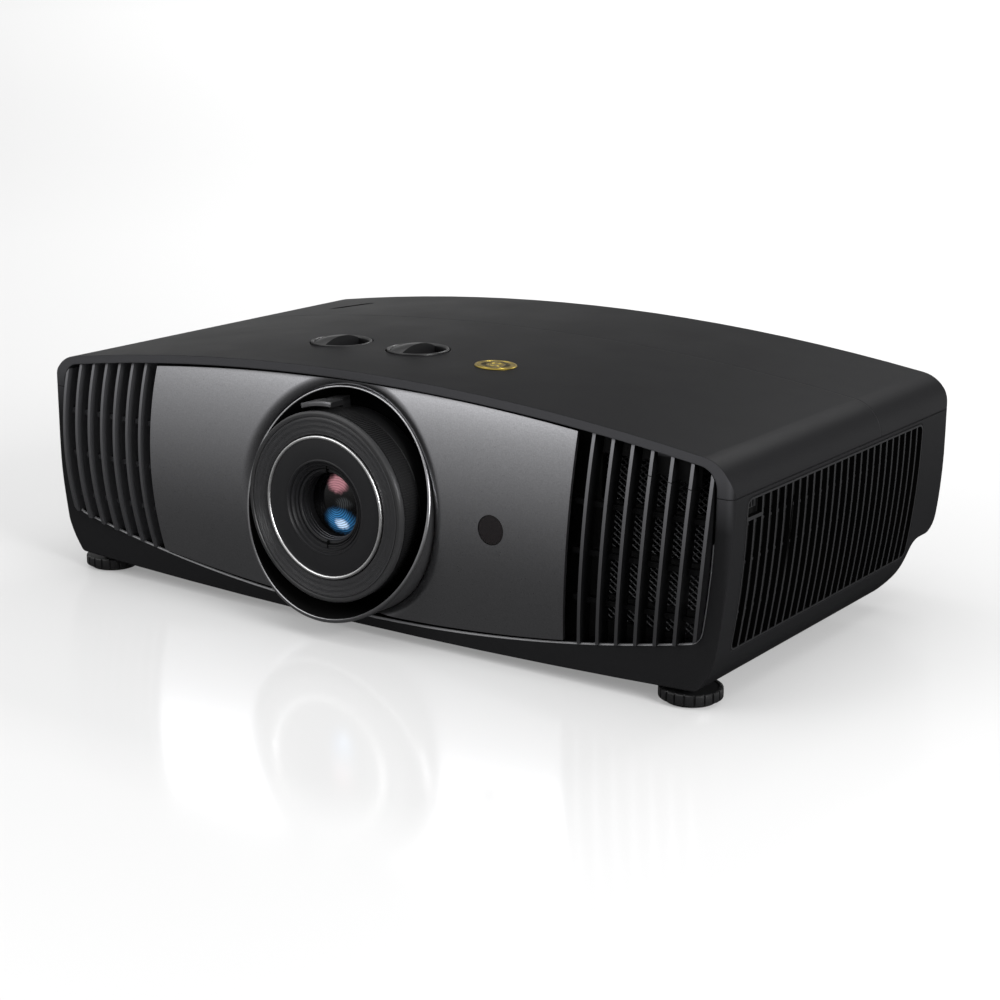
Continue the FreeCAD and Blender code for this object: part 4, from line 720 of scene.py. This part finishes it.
def makeThroatRings():
    # bright rings laid on the turned step edges down the throat: painted highlights in a lighter metallic
    # lacquer
    y = cellShape["front"]
    rings = []
    for r, deep in ((20.4, 5.8), (19.85, 7.8), (19.55, 9.6)):
        at = y + deep
        rings.append(rounded([(r, at), (r - 0.45, at + 0.1), (r - 0.45, at + 0.5), (r, at + 0.6)], 0.15, 2))
    return lathe("throatRings", rings, materials["slatEdge"], 128)


cell = joinPieces("lensCell", [makeCell(), makeNotches(), makeThroatRings()])
placePiece(cell, "lens_cell")


def makeAccent():
    # a diamond-cut ring with bevelled front edges
    out, inner = cellShape["outer"], cellShape["face"]
    front, back = cellShape["accentFront"], cellShape["accentBack"]
    outline = [(out, back), (out, front + 0.4), (out - 0.4, front), (inner + 0.4, front),
               (inner, front + 0.5), (inner, back)]
    return lathe("accentRing", [rounded(outline, 0.3)], materials["silver"], 200, angle=60)


placePiece(makeAccent(), "accent_ring")


# optics: a deep coated front element; magenta above and blue below are painted reflections that glow on its
# face
def opticsWithPaintedReflections():
    # multi-coated glass: black inside, with the coatings' coloured reflections painted on as glowing soft
    # streaks
    material, tree, shader, place = startMaterial("optical glass with painted coating reflections")
    centred = addNode(tree, "ShaderNodeMapping", {"Vector": place, "Scale": (1000, 0, 1000),
                                                   "Location": (-lensAxis[0], 0, -lensAxis[1])})
    wander = addNode(tree, "ShaderNodeTexNoise", {"Vector": centred, "Scale": 0.35, "Detail": 3.0})
    moved = addNode(tree, "ShaderNodeVectorMath", {0: wander.outputs["Color"], 1: (3.4, 0, 3.4)},
                    operation="MULTIPLY")
    bent = addNode(tree, "ShaderNodeVectorMath", {0: centred, 1: moved})
    rings = addNode(tree, "ShaderNodeTexWave", {"Vector": centred, "Scale": 0.23, "Distortion": 2.2,
                                                 "Detail": 3.0, "Detail Scale": 1.6},
                    wave_type="RINGS", rings_direction="SPHERICAL")
    # each painted reflection: its middle and half sizes in mm, colour, brightness and how much the streaks
    # cut it
    paintedReflections = [((1.0, 12.0), (9.0, 6.6), "f0a4b0", 0.55, 0.45),
               ((2.5, -9.5), (13.0, 9.5), "3f8fd0", 0.72, 0.8),
               ((3.5, -11.5), (6.0, 4.2), "e8f4ff", 0.75, 0.55),
               ((6.0, 1.5), (7.0, 4.0), "6f7376", 0.25, 0.9)]
    glow = (0.0, 0.0, 0.0)
    drift = 1.7     # half of what the noise moves a point
    for (px, pz), (rx, rz), colour, strength, streak in paintedReflections:
        apart = addNode(tree, "ShaderNodeMapping", {"Vector": bent, "Scale": (1 / rx, 0, 1 / rz),
                                                     "Location": (-(px + drift) / rx, 0, -(pz + drift) / rz)})
        far = addNode(tree, "ShaderNodeVectorMath", {0: apart}, operation="LENGTH")
        spread = addNode(tree, "ShaderNodeMapRange", {"Value": far.outputs["Value"], "From Min": 1.0,
                                                       "From Max": 0.35, "To Max": strength},
                         interpolation_type="SMOOTHSTEP")
        lines = addNode(tree, "ShaderNodeMapRange", {"Value": rings.outputs["Fac"], "To Min": 1 - streak})
        weight = addNode(tree, "ShaderNodeMath", {0: spread, 1: lines}, operation="MULTIPLY")
        tinted = addNode(tree, "ShaderNodeVectorMath", {0: hexColour(colour)[:3], "Scale": weight},
                         operation="SCALE")
        glow = addNode(tree, "ShaderNodeVectorMath", {0: glow, 1: tinted})
    # the painted reflections go into emission, so the glass glows though it is no lamp
    setInputs(shader, {"Base Color": hexColour("050506"), "Roughness": 0.06, "IOR": 1.52,
                       "Emission Color": glow, "Emission Strength": 1.0})
    return material


def lensFace(radius, curve, edge, steps=16):
    # points from the rim to the middle of a ball's cap
    out = []
    for k in range(steps + 1):
        r = radius * (1 - k / steps)
        sag = math.sqrt(curve ** 2 - r ** 2) - math.sqrt(curve ** 2 - radius ** 2)
        out.append((r, edge - sag))
    return out


glassShape = {"radius": 19.3, "curve": 50.0, "inset": 14.2, "wall": 0.7}


def makeOptics():
    g = glassShape
    edge = cellShape["front"] + g["inset"]
    cap = lensFace(g["radius"], g["curve"], edge) + [(0.0, edge + g["wall"]), (g["radius"], edge + g["wall"])]
    return lathe("frontGlass", [cap], opticsWithPaintedReflections(), 128, closed=False, angle=60)


placePiece(makeOptics(), "front_glass")

# zoom ring with its lever tab in the collar
zoomShape = {"front": -124.35, "outer": 54.5, "inner": 41.05, "depth": 13.0, "tabAngle": 8.0, "tabHalf": 10.5,
             "tabInner": 58.4, "tabOuter": 61.4, "tabFront": -140.25, "neck": -128.5, "tabBack": -115.35}


def makeZoomRing():
    z = zoomShape
    y = z["front"]
    band = [(z["outer"], y), (z["outer"], y + z["depth"]), (z["inner"], y + z["depth"]), (z["inner"], y)]
    body = lathe("zoomRing", [rounded(band, 0.8)], materials["matt"], 200)
    bm = bmesh.new()
    start = math.radians(90 + z["tabAngle"] - z["tabHalf"])
    sweep = math.radians(2 * z["tabHalf"])
    low, high, f, b = z["tabInner"], z["tabOuter"], z["tabFront"], z["tabBack"]
    outline = [(low, f + 0.8), (low + 0.3, f + 0.3)]
    for k in range(3):
        r = low + 0.5 + k * (high - low - 1.0) / 3
        s = (high - low - 1.0) / 3
        outline += [(r + 0.12, f), (r + s * 0.55, f), (r + s * 0.7, f + 0.5), (r + s * 0.9, f + 0.5)]
    outline += [(high - 0.2, f + 0.4), (high, f + 1.0), (high, z["neck"]), (low, z["neck"])]
    neck = [(low + 0.2, z["neck"] - 0.2), (high - 0.9, z["neck"] - 0.2), (high - 0.9, b), (low + 0.2, b)]
    arm = [(z["outer"] - 1, y + 2), (high - 0.4, y + 2), (high - 0.4, y + 9), (z["outer"] - 1, y + 9)]
    # the plate is the full width; the neck and the arm behind it are half as wide
    for shape, steps, share in ((outline, 24, 1.0), (neck, 12, 0.5), (arm, 16, 0.5)):
        rings = revolve(bm, shape, steps, lensAxis, "Y", True, start + sweep * (1 - share) / 2, sweep * share)
        bm.faces.new(rings[0])
        bm.faces.new(list(reversed(rings[-1])))
    tab = finishMesh("zoomTab", bm, materials["satin"], 30)
    # the tab's front ridges take the light rim finish: a painted highlight on their edges
    tab.data.materials.append(materials["rim"])
    for face in tab.data.polygons:
        face.material_index = 1 if face.center.y < (f + 1.0) * mm else 0
    return joinPieces("zoomRing", [body, tab])


placePiece(makeZoomRing(), "zoom_ring")
print("lens made")

# dials: a rim, half a dome and a finger pocket
dialShape = {"radius": 19.0, "cap": 16.7, "dome": 3.7, "pocket": 4.0, "wall": 5.0, "y": -48.75,
             "ridges": 6, "ridgePitch": 2.4, "stem": 3.0, "stemDepth": 23.0,
             "places": {"vertical_shift_dial": -71.0, "side_shift_dial": -11.8}}


def crownHeight(x):
    s = caseShape
    return s["top"] - s["crownRadius"] + math.sqrt(s["crownRadius"] ** 2 - x * x)


def makeDial(name, x):
    d = dialShape
    top = crownHeight(x)
    centre = (x, d["y"])
    bm = bmesh.new()
    inner, outer = d["cap"] + 0.1, d["radius"]
    rim = rounded([(inner, top - d["wall"]), (outer, top - d["wall"]), (outer, top + 0.7),
                   (outer - 1.0, top + 1.1), (inner, top + 0.1)], 0.7, 3)
    revolve(bm, rim, 128, centre, "Z")
    floor = [(0.0, top - d["wall"]), (d["cap"] + 0.15, top - d["wall"]), (d["cap"] + 0.15, top - d["pocket"])]
    for k in range(d["ridges"]):
        r = d["cap"] - 1.4 - k * d["ridgePitch"]
        floor += [(r, top - d["pocket"]), (r - 0.3, top - d["pocket"] + 0.25), (r - 0.6, top - d["pocket"])]
    floor.append((0.0, top - d["pocket"]))
    revolve(bm, floor, 96, centre, "Z", closed=False)
    curve = (d["cap"] ** 2 + d["dome"] ** 2) / (2 * d["dome"])
    half = [(0.0, top - d["pocket"] - 0.1), (d["cap"], top - d["pocket"] - 0.1)]
    for k in range(17):
        r = d["cap"] * (1 - k / 16)
        half.append((r, top + d["dome"] - curve + math.sqrt(curve ** 2 - r ** 2)))
    rings = revolve(bm, half, 64, centre, "Z", True, math.pi / 2, math.pi)
    bm.faces.new(rings[0])
    bm.faces.new(list(reversed(rings[-1])))
    low, high = top - d["stemDepth"], top - d["wall"] + 0.1
    stem = [(0.0, low), (d["stem"], low), (d["stem"], high), (0.0, high)]
    revolve(bm, stem, 32, centre, "Z", closed=False)
    return finishMesh(name, bm, materials["satin"], 30)


for node, x in dialShape["places"].items():
    placePiece(makeDial(node.title().replace("_", ""), x), node)

# badge: a plain gold disc with turned rings
badgeShape = {"radius": 12.5, "x": 51.4, "y": -57.25, "proud": 0.5, "wall": 1.2,
              "ticks": 48, "tickRadius": 7.2, "tick": (3.0, 0.28, 0.12)}


def makeBadge():
    b = badgeShape
    top = b["proud"]
    low = top - b["wall"]
    outline = [(0.0, low), (b["radius"], low), (b["radius"], top - 0.25), (b["radius"] - 0.25, top)]
    for r, wide in ((11.2, 0.5), (9.8, 0.25), (4.6, 0.5), (3.2, 0.25)):
        outline += [(r, top), (r - 0.1, top - 0.2), (r - wide - 0.1, top - 0.2), (r - wide - 0.2, top)]
    outline.append((0.0, top))
    piece = lathe("topBadge", [outline], materials["gold"], 128, (0.0, 0.0), "Z", False)
    ticks = grow("badgeTicks", barsOnRing, {
        "Count": b["ticks"], "Radius": b["tickRadius"] * mm, "Bar": tuple(v * mm for v in b["tick"]),
        "Place": (0.0, 0.0, (top + 0.02) * mm), "Turn": (0.0, 0.0, 0.0), "Material": materials["satin"]})
    piece = joinPieces("topBadge", [piece, ticks])
    s = caseShape
    lean = Matrix.Rotation(math.asin(b["x"] / s["crownRadius"]), 4, "Y")
    up = Matrix.Translation((0, b["y"] * mm, s["crownRadius"] * mm))
    piece.data.transform(Matrix.Translation((0, 0, (s["top"] - s["crownRadius"]) * mm)) @ lean @ up)
    return piece


placePiece(makeBadge(), "top_badge")

# feet: a notched screw disc over a rubber pad
footShape = {"x": 216.3, "y": -108.25, "radius": 17.7, "base": 1.9, "top": 8.0, "notches": 20,
             "notch": 0.95, "notchHalf": 0.55, "pad": 14.5, "padWall": 1.6, "stud": 3.0, "studTop": 29.97}


def makeFoot(side, sign):
    f = footShape
    centre = (sign * f["x"], f["y"])
    share = 2 * math.pi / f["notches"]

    def notched(angle, radius):
        if radius < f["radius"] - 0.8:
            return radius
        inside = abs((angle / share + 0.5) % 1.0 - 0.5) * share * f["radius"]
        return radius - (f["notch"] if inside < f["notchHalf"] else 0.0)
    out, base, top, stud = f["radius"], f["base"], f["top"], f["stud"]
    disc = [(0.0, base), (out - 1.0, base), (out - 0.1, base + 0.45), (out, base + 0.9), (out, top - 0.9),
            (out - 0.1, top - 0.45), (out - 0.6, top), (out - 2.4, top), (out - 2.8, top - 0.5),
            (6.4, top - 0.5), (6.0, top + 0.6), (stud + 0.4, top + 0.6), (stud, top + 1.0),
            (stud, f["studTop"] - 0.6), (stud - 0.6, f["studTop"]), (0.0, f["studTop"])]
    screw = lathe("footScrew" + side, [disc], materials["satin"], 480, centre, "Z", False, 30, notched)
    pad = [(0.0, 0.0), (f["pad"] - 0.5, 0.0), (f["pad"], 0.5), (f["pad"], f["padWall"]), (4.0, f["padWall"]),
           (4.0, 1.8), (0.0, 1.8)]
    pad = lathe("footPad" + side, [pad], materials["rubber"], 96, centre, "Z", False)
    return screw, pad


for side, sign in (("Left", -1), ("Right", 1)):
    screw, pad = makeFoot(side, sign)
    placePiece(screw, "foot_screw_" + side.lower())
    placePiece(pad, "foot_pad_" + side.lower())
print("dials, badge and feet made")


# bead: the polished inner edge of the front opening, lighter than the case and kept to its lower part: partly
# a painted highlight where the sill catches the light
beadShape = {"flank": 9.5, "upper": 12.0, "lower": 10.0, "outer": 0.05, "inner": 0.95, "highlightUpTo": 95.0}


def openingPath(inset):
    # the front opening's outline, four arcs with rounded corners, drawn in by inset
    s = caseShape
    crown = (0.0, s["top"] - s["crownRadius"], s["crownRadius"] - s["lip"] - inset)
    flankRadius = s["flankRadius"] - beadShape["flank"] - inset
    flank = (s["halfWidth"] - s["flankRadius"], s["flankHeight"], flankRadius)
    sill = (0.0, s["bottom"] + s["sillHeight"] + s["sillRadius"], s["sillRadius"] - inset)
    other = (-flank[0], flank[1], flank[2])
    discs = [crown, flank, sill, other]
    radii = [beadShape[which] - inset for which in ("upper", "lower", "lower", "upper")]
    hints = [(1, 1), (1, -1), (-1, -1), (-1, 1)]
    corners = []
    for i, radius in enumerate(radii):
        (x1, z1, r1), (x2, z2, r2) = discs[i], discs[(i + 1) % 4]
        a, b, dx, dz = r1 - radius, r2 - radius, x2 - x1, z2 - z1
        apart = math.hypot(dx, dz)
        along = (a * a - b * b + apart * apart) / (2 * apart)
        off = math.sqrt(max(a * a - along * along, 0))
        mx, mz = x1 + along * dx / apart, z1 + along * dz / apart
        ends = [(mx - t * off * dz / apart, mz + t * off * dx / apart) for t in (1, -1)]
        centre = max(ends, key=lambda p: p[0] * hints[i][0] + p[1] * hints[i][1])
        corners.append((centre, radius))

    def touch(disc, point):
        dx, dz = point[0] - disc[0], point[1] - disc[1]
        scale = disc[2] / math.hypot(dx, dz)
        return disc[0] + dx * scale, disc[1] + dz * scale

    def sweep(disc, start, end, count):
        a0 = math.atan2(start[1] - disc[1], start[0] - disc[0])
        a1 = math.atan2(end[1] - disc[1], end[0] - disc[0])
        while a1 - a0 > math.pi:
            a1 -= 2 * math.pi
        while a1 - a0 < -math.pi:
            a1 += 2 * math.pi
        return [(disc[0] + disc[2] * math.cos(a0 + (a1 - a0) * k / count),
                 disc[1] + disc[2] * math.sin(a0 + (a1 - a0) * k / count)) for k in range(count)]
    path = []
    for i in range(4):
        centre, radius = corners[i]
        before = corners[i - 1][0]
        one = touch(discs[i], before)
        two = touch(discs[i], centre)
        path += sweep(discs[i], one, two, 90 if i in (0, 2) else 40)
        path += sweep((centre[0], centre[1], radius), two, touch(discs[(i + 1) % 4], centre), 10)
    return path


def makeBead():
    outer, inner = openingPath(beadShape["outer"]), openingPath(beadShape["inner"])
    y = caseShape["front"]
    bm = bmesh.new()
    layers = [(outer, y - 0.15), (outer, y + 1.2), (inner, y + 1.2), (inner, y + 0.35)]
    rows = []
    for path, depth in layers:
        rows.append([bm.verts.new(Vector((x, depth, z)) * mm) for x, z in path])
    middle = [bm.verts.new((a.co + b.co) / 2 + Vector((0, -0.00012, 0))) for a, b in zip(rows[3], rows[0])]
    rows.append(middle)
    count = len(outer)
    for i in range(len(rows)):
        one, two = rows[i], rows[(i + 1) % len(rows)]
        for k in range(count):
            n = (k + 1) % count
            # the bead stops at this height, so the painted highlight stays on the lower part of the opening
            if max(outer[k][1], outer[n][1]) < beadShape["highlightUpTo"]:
                bm.faces.new((one[k], one[n], two[n], two[k]))
    bmesh.ops.delete(bm, geom=[v for v in bm.verts if not v.link_faces], context="VERTS")
    return finishMesh("openingBead", bm, materials["bead"], 60)


bead = makeBead()
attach(bead, "case")

# wire mesh behind the slats
meshShape = {"left": 163.0, "right": 155.0, "outer": 236.5, "low": 22.0, "high": 130.0, "depth": -102.9,
             "wire": 0.42, "net": 125.0, "cells": 44}


def makeScreens():
    m = meshShape
    parts = []
    for low, high in ((-m["outer"], -m["left"]), (m["right"], m["outer"])):
        parts.append(grow("screen", diamondWire, {
            "Low X": low * mm, "High X": high * mm, "Low Z": m["low"] * mm, "High Z": m["high"] * mm,
            "Depth": m["depth"] * mm, "Cells": m["cells"], "Size": m["net"] * mm, "Wire": m["wire"] * mm,
            "Material": materials["wire"]}))
    return joinPieces("wireScreens", parts)


placePiece(makeScreens(), "mesh_screens")
print("screens made")


# stage: floor, light and camera
def makeFloor():
    bm = bmesh.new()
    bmesh.ops.create_grid(bm, x_segments=1, y_segments=1, size=60.0)
    material, _, shader, _ = startMaterial("white lacquered board")
    setInputs(shader, {"Base Color": hexColour("d9d9d9"), "Roughness": 0.13, "Emission Color": (1, 1, 1, 1),
                       "Emission Strength": 0.25, "Specular IOR Level": 1.0, "IOR": 2.3})
    floor = finishMesh("floor", bm, material)
    floor.visible_glossy = False


def makeWorld():
    # a soft studio sky: bright overhead, fading below the horizon, to the right and high behind the object
    world = bpy.data.worlds.new("softStudio")
    bpy.context.scene.world = world
    world.use_nodes = True
    tree = world.node_tree
    tree.nodes.clear()
    towards = addNode(tree, "ShaderNodeTexCoord").outputs["Generated"]
    direction = addNode(tree, "ShaderNodeSeparateXYZ", {0: towards})
    x, y, z = direction.outputs
    sky = addNode(tree, "ShaderNodeMapRange", {"Value": z, "From Min": -0.42, "From Max": 0.85,
                                                "To Min": 0.075}, interpolation_type="SMOOTHSTEP")
    side = addNode(tree, "ShaderNodeMapRange", {"Value": x, "From Min": -0.6, "From Max": 1.0,
                                                 "To Min": 1.0, "To Max": 0.3})
    rear = addNode(tree, "ShaderNodeMapRange", {"Value": y, "From Min": 0.1, "From Max": 0.7,
                                                 "To Min": 1.0, "To Max": 0.12},
                   interpolation_type="SMOOTHSTEP")
    for dimmer in (side, rear):
        sky = addNode(tree, "ShaderNodeMath", {0: sky, 1: dimmer}, operation="MULTIPLY")
    # a bright band low behind the object, which the floor mirrors
    height = addNode(tree, "ShaderNodeMath", {0: z}, operation="ABSOLUTE")
    low = addNode(tree, "ShaderNodeMapRange", {"Value": height, "From Min": 0.08, "From Max": 0.32,
                                                "To Min": 1.0, "To Max": 0.0},
                  interpolation_type="SMOOTHSTEP")
    behind = addNode(tree, "ShaderNodeMapRange", {"Value": y, "From Min": 0.4, "From Max": 0.8})
    band = addNode(tree, "ShaderNodeMath", {0: low, 1: behind}, operation="MULTIPLY")
    total = addNode(tree, "ShaderNodeMath", {0: sky, 1: band})
    glow = addNode(tree, "ShaderNodeBackground", {"Color": (1, 1, 1, 1), "Strength": total})
    addNode(tree, "ShaderNodeOutputWorld", {0: glow})


def addSoftbox(name, place, aim, size, watts):
    light = bpy.data.lights.new(name, "AREA")
    light.shape, light.size, light.size_y, light.energy = "RECTANGLE", size[0], size[1], watts
    lamp = bpy.data.objects.new(name, light)
    bpy.context.scene.collection.objects.link(lamp)
    lamp.location = place
    lamp.rotation_euler = (Vector(aim) - Vector(place)).to_track_quat("-Z", "Y").to_euler()


def addSun(strength, spread):
    light = bpy.data.lights.new("ceilingGlow", "SUN")
    light.energy, light.angle = strength, math.radians(spread)
    lamp = bpy.data.objects.new("ceilingGlow", light)
    bpy.context.scene.collection.objects.link(lamp)
    lamp.rotation_euler = (math.radians(-12), math.radians(-10), 0)


def makeCamera():
    # 75 mm lens on a 36 mm frame, from the front right and a little above
    azimuth, elevation, roll = (math.radians(a) for a in (34.865, 14.921, 0.272))
    ca, sa, ce, se = math.cos(azimuth), math.sin(azimuth), math.cos(elevation), math.sin(elevation)
    back = Vector((sa * ce, -ca * ce, se))
    right = Vector((ca, sa, 0))
    up = back.cross(right)
    x = math.cos(roll) * right + math.sin(roll) * up
    y = -math.sin(roll) * right + math.cos(roll) * up
    data = bpy.data.cameras.new("camera")
    data.lens, data.sensor_width, data.clip_end = 75.36, 36.0, 50.0
    camera = bpy.data.objects.new("camera", data)
    bpy.context.scene.collection.objects.link(camera)
    turn = Matrix((x, y, back)).transposed().to_4x4()
    camera.matrix_world = Matrix.Translation((0.73972, -1.04023, 0.39403)) @ turn
    bpy.context.scene.camera = camera


makeFloor()
makeWorld()
addSun(1.0, 70)
addSoftbox("frontLeft", (-1.2, -1.7, 1.3), (0, 0, 0.1), (1.4, 0.7), 10)
addSoftbox("rightSide", (2.1, -0.5, 0.9), (0.2, 0, 0.08), (1.0, 1.0), 52)
addSoftbox("backRim", (0.15, 1.8, 1.5), (0.2, 0, 0.1), (1.2, 0.3), 16)
makeCamera()
bpy.context.scene.view_settings.view_transform = "Standard"
bpy.context.scene.view_settings.look = "None"

print("scene ready")
